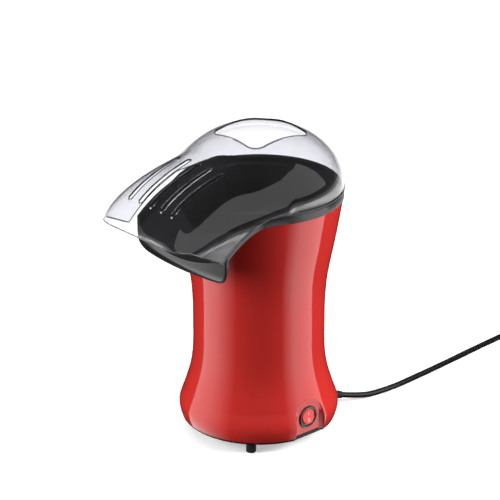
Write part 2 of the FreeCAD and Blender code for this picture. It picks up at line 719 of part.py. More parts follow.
def coil_point(turns):
    """Point of the coil after so many turns: in on the floor, up at the centre, out on top."""
    step = CORD_DIAMETER + COIL_GAP
    climb = min(max((turns - COIL_TURNS) / 0.5, 0.0), 1.0)
    out = max(turns - COIL_TURNS - 0.5, 0.0)
    inward = min(max(turns, 0.0), COIL_TURNS)
    radius = COIL_MID_RADIUS + step * (COIL_TURNS / 2 - inward + out)
    z = cord_floor() + step * climb * climb * (3 - 2 * climb)
    angle = math.radians(COIL_START_ANGLE + 360 * turns)
    x, y = COIL_CENTRE
    if turns < 0:
        ahead = coil_tangent(0)
        return coil_point(0) + ahead * (turns * 2 * math.pi * radius * 0.25)
    return V(x + radius * math.cos(angle), y + radius * math.sin(angle), z)


def coil_tangent(turns):
    small = 0.001
    step = coil_point(turns + small) - coil_point(max(turns - small, 0.0))
    return step.normalize()


def biarc(p0, t0, p1, t1):
    """Two tangent arcs from p0 along t0 to p1 along t1."""
    span = p1 - p0
    both = t0 + t1
    a = 2 * (1 - t0.dot(t1))
    b = 2 * span.dot(both)
    c = -span.dot(span)
    reach = -c / b if abs(a) < 1e-9 else (-b + math.sqrt(b * b - 4 * a * c)) / (2 * a)
    joint = (p0 + t0 * reach + p1 - t1 * reach) * 0.5
    return [arc_from(p0, t0, joint), arc_from(p1, t1 * -1, joint)]


def arc_from(start, tangent, end):
    chord = end - start
    along = chord.dot(tangent)
    normal = chord - tangent * along
    radius = chord.dot(chord) / (2 * normal.Length)
    normal.normalize()
    centre = start + normal * radius
    half = (start + end) * 0.5 - centre
    half.normalize()
    return Part.Arc(start, centre + half * radius, end).toShape()


def tail_axis():
    """Direction of the lead's end and the plug: on along the coil, a little downwards."""
    axis = coil_tangent(COIL_LAST_TURN)
    axis.z = -math.tan(math.radians(TAIL_DROP))
    return axis.normalize()


def tail_point():
    """End of the bend that takes the lead from the top layer down towards the table."""
    middle = coil_tangent(COIL_LAST_TURN) + tail_axis()
    return coil_point(COIL_LAST_TURN) + middle.normalize() * TAIL_LENGTH


def cord_coil():
    edges = []
    quarters = int(4 * COIL_LAST_TURN)
    for i in range(quarters):
        a, b = i / 4, (i + 1) / 4
        edges += biarc(coil_point(a), coil_tangent(a), coil_point(b), coil_tangent(b))
    last = coil_point(COIL_LAST_TURN)
    edges.append(arc_from(last, coil_tangent(COIL_LAST_TURN), tail_point()))
    edges.append(Part.makeLine(tail_point(), plug_base()))
    samples = 600
    points = [coil_point(COIL_LAST_TURN * i / samples) for i in range(samples + 1)]
    apart = samples // 10
    gaps = [(a - b).Length for i, a in enumerate(points) for b in points[i + apart:]]
    print("coil gap", round(min(gaps) - CORD_DIAMETER, 2))
    tube_solid = pipe(Part.__sortEdges__(edges), CORD_DIAMETER)
    print("coil length", round(sum(e.Length for e in edges)), "volume share",
          round(tube_solid.Volume / (sum(e.Length for e in edges) * math.pi * CORD_DIAMETER ** 2 / 4), 4))
    return tube_solid


def cord_run():
    return pipe(rounded_path(cord_route()), CORD_DIAMETER)


def cord_tie():
    """Flat strap round the coil's two layers, at the side away from the plug."""
    step = CORD_DIAMETER + COIL_GAP
    x, y = COIL_CENTRE
    low = 0.2
    inner_low = COIL_MID_RADIUS - step * (COIL_TURNS / 2 + 0.5) - 1.5
    inner_high = COIL_MID_RADIUS + step * (COIL_TURNS / 2 + 0.5) + 1.5
    high = 2 * step + CORD_DIAMETER / 2 - 1.0
    strap = Part.makeBox(inner_high - inner_low, TIE_WIDTH, high, V(x + inner_low, y - TIE_WIDTH / 2, low))
    hole = Part.makeBox(inner_high - inner_low - 2 * TIE_THICK, TIE_WIDTH, high - TIE_THICK,
                        V(x + inner_low + TIE_THICK, y - TIE_WIDTH / 2, low))
    return strap.cut(hole)


def plug_base():
    return tail_point() + tail_axis() * CORD_DIAMETER


def plug_body():
    axis = tail_axis()
    base = plug_base()
    half = PLUG_LENGTH / 2
    neck = Part.makeCone(CORD_DIAMETER / 2 + PLUG_NECK_WALL, PLUG_RADIUS, half, base, axis)
    head = cylinder(PLUG_RADIUS, half, base + axis * half, axis)
    side = plug_side()
    rise = side.cross(axis)
    width = PLUG_PIN_SPREAD + 2 * PLUG_WING
    wing = Part.makeBox(width, half, PLUG_WING_THICK, V(-width / 2, half, -PLUG_WING_THICK / 2))
    wing = wing.makeFillet(PLUG_WING_FILLET, [e for e in wing.Edges if e.BoundBox.YLength > 1])
    matrix = FreeCAD.Matrix(side.x, axis.x, rise.x, base.x, side.y, axis.y, rise.y, base.y,
                            side.z, axis.z, rise.z, base.z, 0, 0, 0, 1)
    wing = wing.transformGeometry(matrix)
    return neck.fuse(head).fuse(wing).removeSplitter()


def plug_side():
    return tail_axis().cross(UP).normalize()


def plug_pins():
    axis = tail_axis()
    base = plug_base() + axis * PLUG_LENGTH
    pins = []
    for sign in (-1, 1):
        offset = plug_side() * (sign * PLUG_PIN_SPREAD / 2)
        pins.append(cylinder(PLUG_PIN_RADIUS, PLUG_PIN_LENGTH, base + offset, axis))
    return Part.makeCompound(pins)


PIECES = {
    "outer_housing": outer_housing,
    "base_plate": base_plate,
    "upper_chute": upper_chute,
    "clear_cover": clear_cover,
    "popping_chamber": popping_chamber,
    "chamber_ring": chamber_ring,
    "air_duct": air_duct,
    "heater_former": heater_former,
    "heater_wire": heater_wire,
    "thermostat": thermostat,
    "thermal_fuse": thermal_fuse,
    "motor_can": motor_can,
    "motor_end_bell": motor_end_bell,
    "motor_shaft": motor_shaft,
    "motor_bracket": motor_bracket,
    "bracket_screws": bracket_screws,
    "fan_impeller": fan_impeller,
    "rectifier_board": rectifier_board,
    "switch_body": switch_body,
    "switch_rocker": switch_rocker,
    "rocker_pin": lambda: pivot_pin(0),
    "strain_relief": strain_relief,
    "cord_run": cord_run,
    "cord_coil": cord_coil,
    "cord_tie": cord_tie,
    "plug_body": plug_body,
    "plug_pins": plug_pins,
}
FOOT_NAMES = ("foot_front_right", "foot_front_left", "foot_back_left", "foot_back_right")


def main():
    os.makedirs("parts", exist_ok=True)
    for name, make in PIECES.items():
        shape = make()
        print(name, round(shape.Volume), len(shape.Solids), shape.isValid())
        shape.exportStep("parts/" + name + ".step")
    for name, angle in zip(FOOT_NAMES, FOOT_ANGLES):
        foot(angle).exportStep("parts/" + name + ".step")


main()
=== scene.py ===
# %% [markdown]
# # Hot-air popcorn maker
# A glossy red body shaped like an hourglass carries a black upper piece with a bowl and a spout.
# A clear dome with a long visor sits loosely on the rim. The lead comes out low at the back.
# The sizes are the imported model's, apart from a few millimetres at the spout, the visor and the switch.
# Each piece is drawn in metres, right where it belongs.

# %% Load the frame
import json
import math

import bmesh
import bpy
import numpy as np
from mathutils import Matrix, Vector
from mathutils.geometry import interpolate_bezier

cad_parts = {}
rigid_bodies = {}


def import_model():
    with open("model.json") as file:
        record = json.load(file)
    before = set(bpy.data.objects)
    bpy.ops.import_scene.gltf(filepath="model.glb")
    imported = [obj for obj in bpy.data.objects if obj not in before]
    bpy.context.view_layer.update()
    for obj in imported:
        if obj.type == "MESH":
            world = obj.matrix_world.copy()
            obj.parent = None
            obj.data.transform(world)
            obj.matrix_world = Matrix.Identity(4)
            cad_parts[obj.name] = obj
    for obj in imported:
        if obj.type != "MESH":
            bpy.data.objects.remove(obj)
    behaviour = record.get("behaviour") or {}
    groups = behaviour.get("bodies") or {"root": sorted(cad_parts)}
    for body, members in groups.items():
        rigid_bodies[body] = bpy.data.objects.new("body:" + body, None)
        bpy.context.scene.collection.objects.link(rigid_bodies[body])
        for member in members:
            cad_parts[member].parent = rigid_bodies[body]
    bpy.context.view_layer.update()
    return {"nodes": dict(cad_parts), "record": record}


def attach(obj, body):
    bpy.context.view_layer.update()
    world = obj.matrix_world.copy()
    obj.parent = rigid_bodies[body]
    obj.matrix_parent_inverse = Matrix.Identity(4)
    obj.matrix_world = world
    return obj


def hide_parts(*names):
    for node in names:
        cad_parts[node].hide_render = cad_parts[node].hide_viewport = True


for leftover in list(bpy.data.objects):
    bpy.data.objects.remove(leftover)
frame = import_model()
scene = bpy.context.scene
scene.view_settings.view_transform = "Standard"

# %% Formulas that several pieces share


def around(turn, distance, height):
    """Point at a turn about the object from the spout's direction, positive to the switch's side."""
    return Vector((distance * math.sin(turn), -distance * math.cos(turn), height))


def soft_step(value, start, end):
    """Rises softly from 0 to 1 while a value goes from start to end."""
    share = min(max((value - start) / (end - start), 0.0), 1.0)
    return share * share * (3 - 2 * share)


def last_within(low, high, within):
    """Largest value for which within(value) still holds, found by halving the range."""
    for _ in range(40):
        middle = (low + high) / 2
        if within(middle):
            low = middle
        else:
            high = middle
    return low


# %% [markdown]
# ## Camera
# The picture was taken with a long lens from a little above, so upright lines stay upright.
# A long focal length far away gives the same flat look. The camera aims a little to the left of the
# body's axis, because the body stands right of the middle of the picture.

# %% Camera
VIEW_TURN = math.radians(48.5)
VIEW_RISE = math.radians(22.5)
VIEW_DISTANCE = 2.44
LENS_MM = 177.9
SENSOR_MM = 36
FAR_CLIP = 50
AIM_HEIGHT = 0.188
AIM_LEFT = 0.0088

to_camera = around(VIEW_TURN, math.cos(VIEW_RISE), math.sin(VIEW_RISE))
view_right = around(VIEW_TURN + math.pi / 2, 1, 0)
aim = Vector((0, 0, AIM_HEIGHT)) - view_right * AIM_LEFT
camera = bpy.data.objects.new("camera", bpy.data.cameras.new("camera"))
camera.data.lens = LENS_MM
camera.data.sensor_width = SENSOR_MM
camera.data.clip_end = FAR_CLIP
camera.location = aim + to_camera * VIEW_DISTANCE
camera.rotation_euler = to_camera.to_track_quat("Z", "Y").to_euler()
scene.collection.objects.link(camera)
scene.camera = camera
print("camera at", tuple(round(x, 3) for x in camera.location))

# %% [markdown]
# ## Finishes
# Moulded plastic is never quite even: a faint mottling in colour, a roughness that wanders a little
# and a very shallow ripple from the mould keep it from looking like a computer's flat colour.
# One helper makes all the plastics. The metals build on it, and the clear cover has its own: clear plastic
# looks darker where it is seen along its surface, so its colour deepens towards the outline.

# %% Finishes
NOISE_DETAIL = 4
GLOSS_DRIFT = 0.2
RIPPLE_DEPTH = 0.001
METAL_STRETCH = (1.0, 1.0, 40.0)
METAL_GRAIN = 120.0
CLEAR_INDEX = 1.49
SLANT_FROM = 0.55
SLANT_DEPTH = 0.3
SHADOW_PALE = 0.55
BEAD_SHEEN = 0.2


def plastic(name, colour, roughness, mottle, ripple, grain):
    """Moulded plastic: colour and roughness drift a little, and the surface ripples slightly."""
    material = bpy.data.materials.new(name)
    material.use_nodes = True
    nodes = material.node_tree.nodes
    links = material.node_tree.links
    shader = nodes["Principled BSDF"]
    place = nodes.new("ShaderNodeTexCoord")
    noise = nodes.new("ShaderNodeTexNoise")
    noise.inputs["Scale"].default_value = grain
    noise.inputs["Detail"].default_value = NOISE_DETAIL
    links.new(place.outputs["Object"], noise.inputs["Vector"])
    tint = nodes.new("ShaderNodeValToRGB")
    tint.color_ramp.elements[0].color = [c * (1 - mottle) for c in colour] + [1]
    tint.color_ramp.elements[1].color = [min(c * (1 + mottle), 1) for c in colour] + [1]
    links.new(noise.outputs["Fac"], tint.inputs["Fac"])
    links.new(tint.outputs["Color"], shader.inputs["Base Color"])
    gloss = nodes.new("ShaderNodeMapRange")
    gloss.inputs["To Min"].default_value = roughness * (1 - GLOSS_DRIFT)
    gloss.inputs["To Max"].default_value = roughness * (1 + GLOSS_DRIFT)
    links.new(noise.outputs["Fac"], gloss.inputs["Value"])
    links.new(gloss.outputs["Result"], shader.inputs["Roughness"])
    bump = nodes.new("ShaderNodeBump")
    bump.inputs["Strength"].default_value = ripple
    bump.inputs["Distance"].default_value = RIPPLE_DEPTH
    links.new(noise.outputs["Fac"], bump.inputs["Height"])
    links.new(bump.outputs["Normal"], shader.inputs["Normal"])
    return material


def metal(name, colour, roughness):
    """Drawn or turned metal: fine streaks in roughness along the direction it was worked in."""
    material = plastic(name, colour, roughness, mottle=0.05, ripple=0.03, grain=METAL_GRAIN)
    nodes = material.node_tree.nodes
    links = material.node_tree.links
    nodes["Principled BSDF"].inputs["Metallic"].default_value = 1.0
    streaks = nodes.new("ShaderNodeMapping")
    streaks.inputs["Scale"].default_value = METAL_STRETCH
    noise = next(n for n in nodes if n.type == "TEX_NOISE")
    place = next(n for n in nodes if n.type == "TEX_COORD")
    links.new(place.outputs["Object"], streaks.inputs["Vector"])
    links.new(streaks.outputs["Vector"], noise.inputs["Vector"])
    return material


def clear_plastic(name, colour, roughness):
    """Clear moulded plastic: deeper where seen at a slant, and lamps shine through it."""
    material = bpy.data.materials.new(name)
    material.use_nodes = True
    nodes = material.node_tree.nodes
    links = material.node_tree.links
    shader = nodes["Principled BSDF"]
    shader.inputs["Transmission Weight"].default_value = 1.0
    slant = nodes.new("ShaderNodeLayerWeight")
    slant.inputs["Blend"].default_value = 0.5
    depth = nodes.new("ShaderNodeValToRGB")
    depth.color_ramp.elements[0].position = SLANT_FROM
    depth.color_ramp.elements[0].color = (*colour, 1)
    depth.color_ramp.elements[1].position = 1.0
    depth.color_ramp.elements[1].color = (*[SLANT_DEPTH * c for c in colour], 1)
    links.new(slant.outputs["Facing"], depth.inputs["Fac"])
    links.new(depth.outputs["Color"], shader.inputs["Base Color"])
    shader.inputs["Roughness"].default_value = roughness
    shader.inputs["IOR"].default_value = CLEAR_INDEX
    open_air = nodes.new("ShaderNodeBsdfTransparent")
    open_air.inputs["Color"].default_value = (*[SHADOW_PALE + (1 - SHADOW_PALE) * c for c in colour], 1)
    path = nodes.new("ShaderNodeLightPath")
    choose = nodes.new("ShaderNodeMixShader")
    links.new(path.outputs["Is Shadow Ray"], choose.inputs["Fac"])
    links.new(shader.outputs["BSDF"], choose.inputs[1])
    links.new(open_air.outputs["BSDF"], choose.inputs[2])
    links.new(choose.outputs["Shader"], nodes["Material Output"].inputs["Surface"])
    return material


RED_GLOSS = plastic("red_gloss", (0.48, 0.025, 0.021), 0.08, mottle=0.03, ripple=0.006, grain=140)
BLACK_GLOSS = plastic("black_gloss", (0.012, 0.012, 0.012), 0.2, mottle=0.15, ripple=0.012, grain=160)
BLACK_SATIN = plastic("black_satin", (0.016, 0.016, 0.017), 0.42, mottle=0.2, ripple=0.06, grain=500)
BEAD_BLACK = plastic("bead_black", (0.007, 0.007, 0.007), 0.55, mottle=0.2, ripple=0.03, grain=400)
BEAD_BLACK.node_tree.nodes["Principled BSDF"].inputs["Specular IOR Level"].default_value = BEAD_SHEEN
FOOT_RUBBER = plastic("foot_rubber", (0.02, 0.02, 0.021), 0.6, mottle=0.25, ripple=0.1, grain=700)
CORD_BLACK = plastic("cord_black", (0.007, 0.007, 0.008), 0.27, mottle=0.2, ripple=0.05, grain=600)
ROCKER_RED = plastic("rocker_red", (0.6, 0.02, 0.016), 0.16, mottle=0.04, ripple=0.01, grain=300)
FAN_WHITE = plastic("fan_white", (0.7, 0.69, 0.66), 0.38, mottle=0.04, ripple=0.03, grain=200)
HEAT_BOARD = plastic("heat_board", (0.42, 0.32, 0.2), 0.7, mottle=0.15, ripple=0.08, grain=260)
MICA = plastic("mica", (0.62, 0.55, 0.42), 0.35, mottle=0.25, ripple=0.05, grain=180)
BOARD_GREEN = plastic("board_green", (0.03, 0.17, 0.07), 0.4, mottle=0.12, ripple=0.03, grain=400)
ALUMINIUM = metal("aluminium", (0.78, 0.78, 0.77), 0.3)
DUCT_SHEET = metal("duct_sheet", (0.62, 0.63, 0.64), 0.4)
STEEL = metal("steel", (0.55, 0.55, 0.56), 0.3)
HEATER_WIRE = metal("heater_wire", (0.4, 0.36, 0.33), 0.5)
PIN_BRASS = metal("pin_brass", (0.8, 0.72, 0.55), 0.22)
CLEAR = clear_plastic("clear", (0.85, 0.85, 0.88), 0.015)
CLEAR_EDGE = clear_plastic("clear_edge", (0.3, 0.31, 0.36), 0.05)
FINISHES = {
    "red_gloss": RED_GLOSS, "black_gloss": BLACK_GLOSS, "black_satin": BLACK_SATIN, "clear": CLEAR,
    "foot_rubber": FOOT_RUBBER, "cord_black": CORD_BLACK, "rocker_red": ROCKER_RED, "fan_white": FAN_WHITE,
    "heat_board": HEAT_BOARD, "mica": MICA, "board_green": BOARD_GREEN, "aluminium": ALUMINIUM,
    "duct_sheet": DUCT_SHEET, "steel": STEEL, "heater_wire": HEATER_WIRE, "pin_brass": PIN_BRASS,
}
print("finishes", len(FINISHES))

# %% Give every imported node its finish


def repaint(piece, material):
    """Gives a piece this finish and no other."""
    piece.data.materials.clear()
    piece.data.materials.append(material)


for part in frame["record"]["subparts"]:
    repaint(frame["nodes"][part["node"]], FINISHES[part["material_slot"]])

# %% [markdown]
# ## Light
# The table is white and evenly lit from above, with a weak lamp in front and a strong one at each side.
# Gloss shows its surroundings, so what the plastic mirrors is set apart from what lights it. A dark tray
# keeps the middle of the body deep red, and a glowing sheet at each side draws one pale band from the foot
# to the rim. A pale card curved round the front draws the grey crescent on the clear cover. Tray, sheets
# and card are seen in reflections only.

# %% Table and world
FLOOR_SIZE = 9.0
FLOOR_WHITE = (0.92, 0.92, 0.92)
FLOOR_GLOW = 0.32
BLACK = (0.0, 0.0, 0.0)
BELOW_HORIZON = (0.2, 0.2, 0.2, 1)
ABOVE_HORIZON = (0.09, 0.09, 0.095, 1)
HORIZON_BAND = (0.495, 0.505)


def stage_piece(name, bm, material, mirror_only=False):
    """Makes a piece of the set; a mirror_only one shows in reflections and nowhere else."""
    mesh = bpy.data.meshes.new(name)
    bm.to_mesh(mesh)
    bm.free()
    mesh.materials.append(material)
    piece = bpy.data.objects.new(name, mesh)
    scene.collection.objects.link(piece)
    if mirror_only:
        piece.visible_camera = False
        piece.visible_diffuse = False
        piece.visible_transmission = False
        piece.visible_shadow = False
    return piece


def set_colour(name, colour, glow=0.0):
    """Plain finish for the set."""
    material = bpy.data.materials.new(name)
    material.use_nodes = True
    shader = material.node_tree.nodes["Principled BSDF"]
    shader.inputs["Base Color"].default_value = (*colour, 1)
    shader.inputs["Roughness"].default_value = 1.0
    shader.inputs["Specular IOR Level"].default_value = 0.0
    shader.inputs["Emission Color"].default_value = (1, 1, 1, 1)
    shader.inputs["Emission Strength"].default_value = glow
    return material


bm = bmesh.new()
bmesh.ops.create_grid(bm, x_segments=1, y_segments=1, size=FLOOR_SIZE / 2)
floor = stage_piece("floor", bm, set_colour("white_table", FLOOR_WHITE, FLOOR_GLOW))
floor.visible_diffuse = False

world = bpy.data.worlds.new("studio")
world.use_nodes = True
nodes = world.node_tree.nodes
links = world.node_tree.links
place = nodes.new("ShaderNodeTexCoord")
split = nodes.new("ShaderNodeSeparateXYZ")
rise = nodes.new("ShaderNodeMapRange")
rise.inputs["From Min"].default_value = -1
sky = nodes.new("ShaderNodeValToRGB")
for stop, position, grey in zip(sky.color_ramp.elements, HORIZON_BAND, (BELOW_HORIZON, ABOVE_HORIZON)):
    stop.position = position
    stop.color = grey
links.new(place.outputs["Generated"], split.inputs["Vector"])
links.new(split.outputs["Z"], rise.inputs["Value"])
links.new(rise.outputs["Result"], sky.inputs["Fac"])
links.new(sky.outputs["Color"], nodes["Background"].inputs["Color"])
scene.world = world

# %% Lamps
LAMP_AIM = Vector((0, 0, 0.14))


def soft_lamp(name, turn, distance, height, width, radiance):
    """A square lamp whose face is this bright, turned to the body and kept out of reflections."""
    lamp = bpy.data.lights.new(name, "AREA")
    lamp.size = width
    lamp.energy = radiance * math.pi * width * width
    holder = bpy.data.objects.new(name, lamp)
    holder.location = around(VIEW_TURN + math.radians(turn), distance, height)
    holder.rotation_euler = (holder.location - LAMP_AIM).to_track_quat("Z", "Y").to_euler()
    holder.visible_glossy = False
    holder.visible_transmission = False
    scene.collection.objects.link(holder)


soft_lamp("top_lamp", turn=180, distance=0.3, height=2.8, width=4.0, radiance=1.25)
soft_lamp("front_lamp", turn=5, distance=2.2, height=0.15, width=1.0, radiance=1.3)
soft_lamp("right_lamp", turn=84, distance=1.5, height=0.7, width=0.9, radiance=17.5)
soft_lamp("left_lamp", turn=-72, distance=1.5, height=0.6, width=0.9, radiance=13.0)

# %% What the gloss mirrors
TRAY_RADIUS = 0.4
TRAY_RIM = 0.1
TRAY_LIFT = 0.001
SHEET_LIFT = 0.002
SHEET_LENGTH = 0.325
SHEET_RISE = 0.15
SHEET_FOLD = 0.75
BAND_RADIUS = 0.066
CARD_RADIUS = 1.2
CARD_HEIGHTS = (0.4, 2.0)
CARD_TURNS = (-60, 100)
CARD_GLOW = 1.4

bm = bmesh.new()
tray_line = ((0, 0, TRAY_LIFT), (TRAY_RADIUS, 0, TRAY_LIFT), (TRAY_RADIUS, 0, TRAY_RIM))
verts = [bm.verts.new(p) for p in tray_line]
edges = [bm.edges.new(pair) for pair in zip(verts, verts[1:])]
bmesh.ops.spin(bm, geom=verts + edges, cent=(0, 0, 0), axis=(0, 0, 1), angle=2 * math.pi, steps=96,
               use_merge=True)
stage_piece("dark_tray", bm, set_colour("dark_tray", BLACK), mirror_only=True)

glow_finish = bpy.data.materials.new("glow_sheet")
glow_finish.use_nodes = True
nodes = glow_finish.node_tree.nodes
links = glow_finish.node_tree.links
amount = nodes.new("ShaderNodeAttribute")
amount.attribute_name = "glow"
glow = nodes.new("ShaderNodeEmission")
links.new(amount.outputs["Fac"], glow.inputs["Strength"])
links.new(glow.outputs["Emission"], nodes["Material Output"].inputs["Surface"])


def glow_sheet(name, front, fade, rear, strength):
    """A sheet where the body's wall, between two turns, mirrors the table; it glows fully past fade."""
    bm = bmesh.new()
    layer = bm.verts.layers.float.new("glow")
    made = bmesh.ops.create_grid(bm, x_segments=24, y_segments=8, size=0.5)
    for vert in made["verts"]:
        across, along = vert.co.x + 0.5, vert.co.y + 0.5
        turn = math.radians(front + (rear - front) * across)
        reach = SHEET_LENGTH * min(along / SHEET_FOLD, 1.0)
        height = SHEET_LIFT + SHEET_RISE * max(along - SHEET_FOLD, 0.0) / (1 - SHEET_FOLD)
        start = around(VIEW_TURN + turn, BAND_RADIUS, height)
        vert.co = start + around(VIEW_TURN + 2 * turn, reach, 0)
        vert[layer] = strength * min(across * (rear - front) / (fade - front), 1.0)
    stage_piece(name, bm, glow_finish, mirror_only=True)


glow_sheet("right_glow", front=20.0, fade=32.0, rear=53.0, strength=2.1)
glow_sheet("left_glow", front=-20.0, fade=-40.0, rear=-56.0, strength=2.0)

bm = bmesh.new()
foot = around(VIEW_TURN + math.radians(CARD_TURNS[0]), CARD_RADIUS, CARD_HEIGHTS[0])
ends = [bm.verts.new(foot), bm.verts.new(foot + Vector((0, 0, CARD_HEIGHTS[1] - CARD_HEIGHTS[0])))]
side = bm.edges.new(ends)
bmesh.ops.spin(bm, geom=ends + [side], cent=(0, 0, 0), axis=(0, 0, 1), steps=40,
               angle=math.radians(CARD_TURNS[1] - CARD_TURNS[0]))
stage_piece("front_card", bm, set_colour("front_card", BLACK, CARD_GLOW), mirror_only=True)

# %% [markdown]
# ## Mains lead
# A round flexible lead, 5.8 mm thick and about 1.2 m long, leaves the body low at the back, drops to
# the table and runs off to the side. Its spare length is wound into a neat flat coil out of view.
# One smooth spline carries all of it: listed points for the run and a loop for the coil's turns.

# %% Lead
CORD_DIAMETER = 0.0058
CORD_FLOOR = 0.0033
EXIT_RADIUS = 0.0776
EXIT_TURN = math.radians(74)
EXIT_FALL = math.radians(15)
EXIT_HEIGHT = 0.0145
RELIEF_LENGTH = 0.017
COIL_CENTRE = Vector((-0.002, 0.432))
COIL_RADIUS = 0.033
COIL_STEP = 0.0073
COIL_IN = 2.0
COIL_CLIMB = 0.5
COIL_LAST = 4.25
COIL_APPROACH = 0.35
COIL_START = math.radians(-20)
POINTS_PER_TURN = 24
TAIL_LENGTH = 0.0145
TAIL_DROP = math.radians(4.5)


def coil_point(turns):
    """Point of the coil after so many turns: in on the table, up a layer, and out on top."""
    outward = max(turns - COIL_IN - COIL_CLIMB, 0.0)
    radius = COIL_RADIUS + COIL_STEP * (COIL_IN / 2 - min(turns, COIL_IN) + outward)
    turn = COIL_START + 2 * math.pi * turns
    height = CORD_FLOOR + COIL_STEP * soft_step(turns, COIL_IN, COIL_IN + COIL_CLIMB)
    x = COIL_CENTRE.x + radius * math.cos(turn)
    y = COIL_CENTRE.y + radius * math.sin(turn)
    return Vector((x, y, height))


def coil_way(turns):
    """Direction of the lead after so many turns of the coil."""
    small = 0.001
    return (coil_point(turns + small) - coil_point(max(turns - small, 0.0))).normalized()


exit_point = Vector((EXIT_RADIUS * math.cos(EXIT_TURN), EXIT_RADIUS * math.sin(EXIT_TURN), EXIT_HEIGHT))
exit_way = Vector((math.cos(EXIT_TURN), math.sin(EXIT_TURN), -math.tan(EXIT_FALL))).normalized()
relief_tip = exit_point + exit_way * RELIEF_LENGTH
table_reach = (relief_tip.z - CORD_FLOOR) / math.sin(EXIT_FALL)
coil_lead_in = coil_point(0) - coil_way(0) * (COIL_APPROACH * math.pi / 2 * (COIL_RADIUS + COIL_STEP))
tail_way = coil_way(COIL_LAST)
tail_way.z = -math.tan(TAIL_DROP)
tail_way.normalize()
tail_end = coil_point(COIL_LAST) + (coil_way(COIL_LAST) + tail_way).normalized() * TAIL_LENGTH
plug_base = tail_end + tail_way * CORD_DIAMETER
route = [relief_tip, relief_tip + exit_way * table_reach]
route += [Vector((x, y, CORD_FLOOR)) for x, y in (
    (0.037, 0.137), (0.0382, 0.158), (0.037, 0.181), (0.0348, 0.217), (0.031, 0.262), (0.027, 0.308),
    (0.0245, 0.352))]
route += [coil_lead_in]
route += [coil_point(i / POINTS_PER_TURN) for i in range(int(COIL_LAST * POINTS_PER_TURN) + 1)]
route += [tail_end, plug_base]
line = bpy.data.curves.new("mains_lead", "CURVE")
line.dimensions = "3D"
line.bevel_depth = CORD_DIAMETER / 2
line.bevel_resolution = 6
line.use_fill_caps = True
spline = line.splines.new("NURBS")
spline.points.add(len(route) - 1)
for point, place in zip(spline.points, route):
    point.co = (*place, 1)
spline.order_u = 3
spline.use_endpoint_u = True
spline.resolution_u = 6
lead = bpy.data.objects.new("mains_lead", line)
scene.collection.objects.link(lead)
line.materials.append(CORD_BLACK)
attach(lead, "stand")
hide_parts("cord_run", "cord_coil")
print("lead points", len(route))

# %% [markdown]
# ## Making pieces
# Each piece starts as a bmesh. A turned piece is an outline spun about the axis, and a formed sheet is a
# grid whose points are put where a formula says. One helper then makes the object, shades it smoothly
# except at real corners, and ties it to the body that it moves with.

# %% Helpers
SHARP = math.radians(32)
TOUCHING = 1e-6
UPWARD = Vector((0, 0, 1))


def finish_piece(name, bm, body, slot, *nodes, sharp=SHARP):
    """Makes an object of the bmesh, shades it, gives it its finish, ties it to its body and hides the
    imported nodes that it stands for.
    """
    bmesh.ops.remove_doubles(bm, verts=bm.verts, dist=TOUCHING)
    bmesh.ops.recalc_face_normals(bm, faces=bm.faces)
    mesh = bpy.data.meshes.new(name)
    bm.to_mesh(mesh)
    bm.free()
    piece = bpy.data.objects.new(name, mesh)
    scene.collection.objects.link(piece)
    mesh.materials.append(FINISHES[slot])
    shade(piece, sharp)
    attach(piece, body)
    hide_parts(*nodes)
    print(name, "faces", len(mesh.polygons))
    return piece


def shade(piece, sharp=SHARP):
    """Shades a piece smoothly, apart from edges that turn more sharply than this."""
    piece.data.polygons.foreach_set("use_smooth", [True] * len(piece.data.polygons))
    piece.data.set_sharp_from_angle(angle=sharp)


def formed_sheet(bm, across, along, shape):
    """A grid of faces whose points go where shape(u, v) says, with u and v from 0 to 1."""
    made = bmesh.ops.create_grid(bm, x_segments=across, y_segments=along, size=0.5)
    for vert in made["verts"]:
        vert.co = shape(vert.co.x + 0.5, vert.co.y + 0.5)
    return made["verts"]


def thick_sheet(bm, across, along, shape, thickness, inside):
    """A formed sheet given a wall towards the point inside."""
    before = set(bm.faces)
    bmesh.ops.remove_doubles(bm, verts=formed_sheet(bm, across, along, shape), dist=TOUCHING)
    faces = [f for f in bm.faces if f not in before]
    bmesh.ops.recalc_face_normals(bm, faces=faces)
    middle = faces[len(faces) // 2]
    if middle.normal.dot(inside - middle.calc_center_median()) > 0:
        bmesh.ops.reverse_faces(bm, faces=faces)
    bmesh.ops.solidify(bm, geom=faces, thickness=thickness)


def turned_ring(bm, outline, steps, centre=(0, 0, 0), axis=(0, 0, 1)):
    """Spins a closed outline of points about an axis into a ring."""
    verts = [bm.verts.new(p) for p in outline]
    edges = [bm.edges.new(pair) for pair in zip(verts, verts[1:] + verts[:1])]
    bmesh.ops.spin(bm, geom=verts + edges, cent=centre, axis=axis, angle=2 * math.pi, steps=steps,
                   use_merge=True)


def pushed_face(bm, outline, push):
    """A solid between a flat outline of points and the same outline pushed away."""
    face = bm.faces.new([bm.verts.new(p) for p in outline])
    made = bmesh.ops.extrude_face_region(bm, geom=[face])
    bmesh.ops.translate(bm, vec=push, verts=[v for v in made["geom"] if isinstance(v, bmesh.types.BMVert)])


def block(bm, size, middle):
    """A plain box, whose points are handed back."""
    verts = bmesh.ops.create_cube(bm, size=1.0)["verts"]
    bmesh.ops.scale(bm, vec=size, verts=verts)
    bmesh.ops.translate(bm, vec=middle, verts=verts)
    return verts


def close_holes(bm):
    """Joins points that touch and fills what is still open."""
    bmesh.ops.remove_doubles(bm, verts=bm.verts, dist=TOUCHING)
    bmesh.ops.holes_fill(bm, edges=[e for e in bm.edges if e.is_boundary], sides=0)


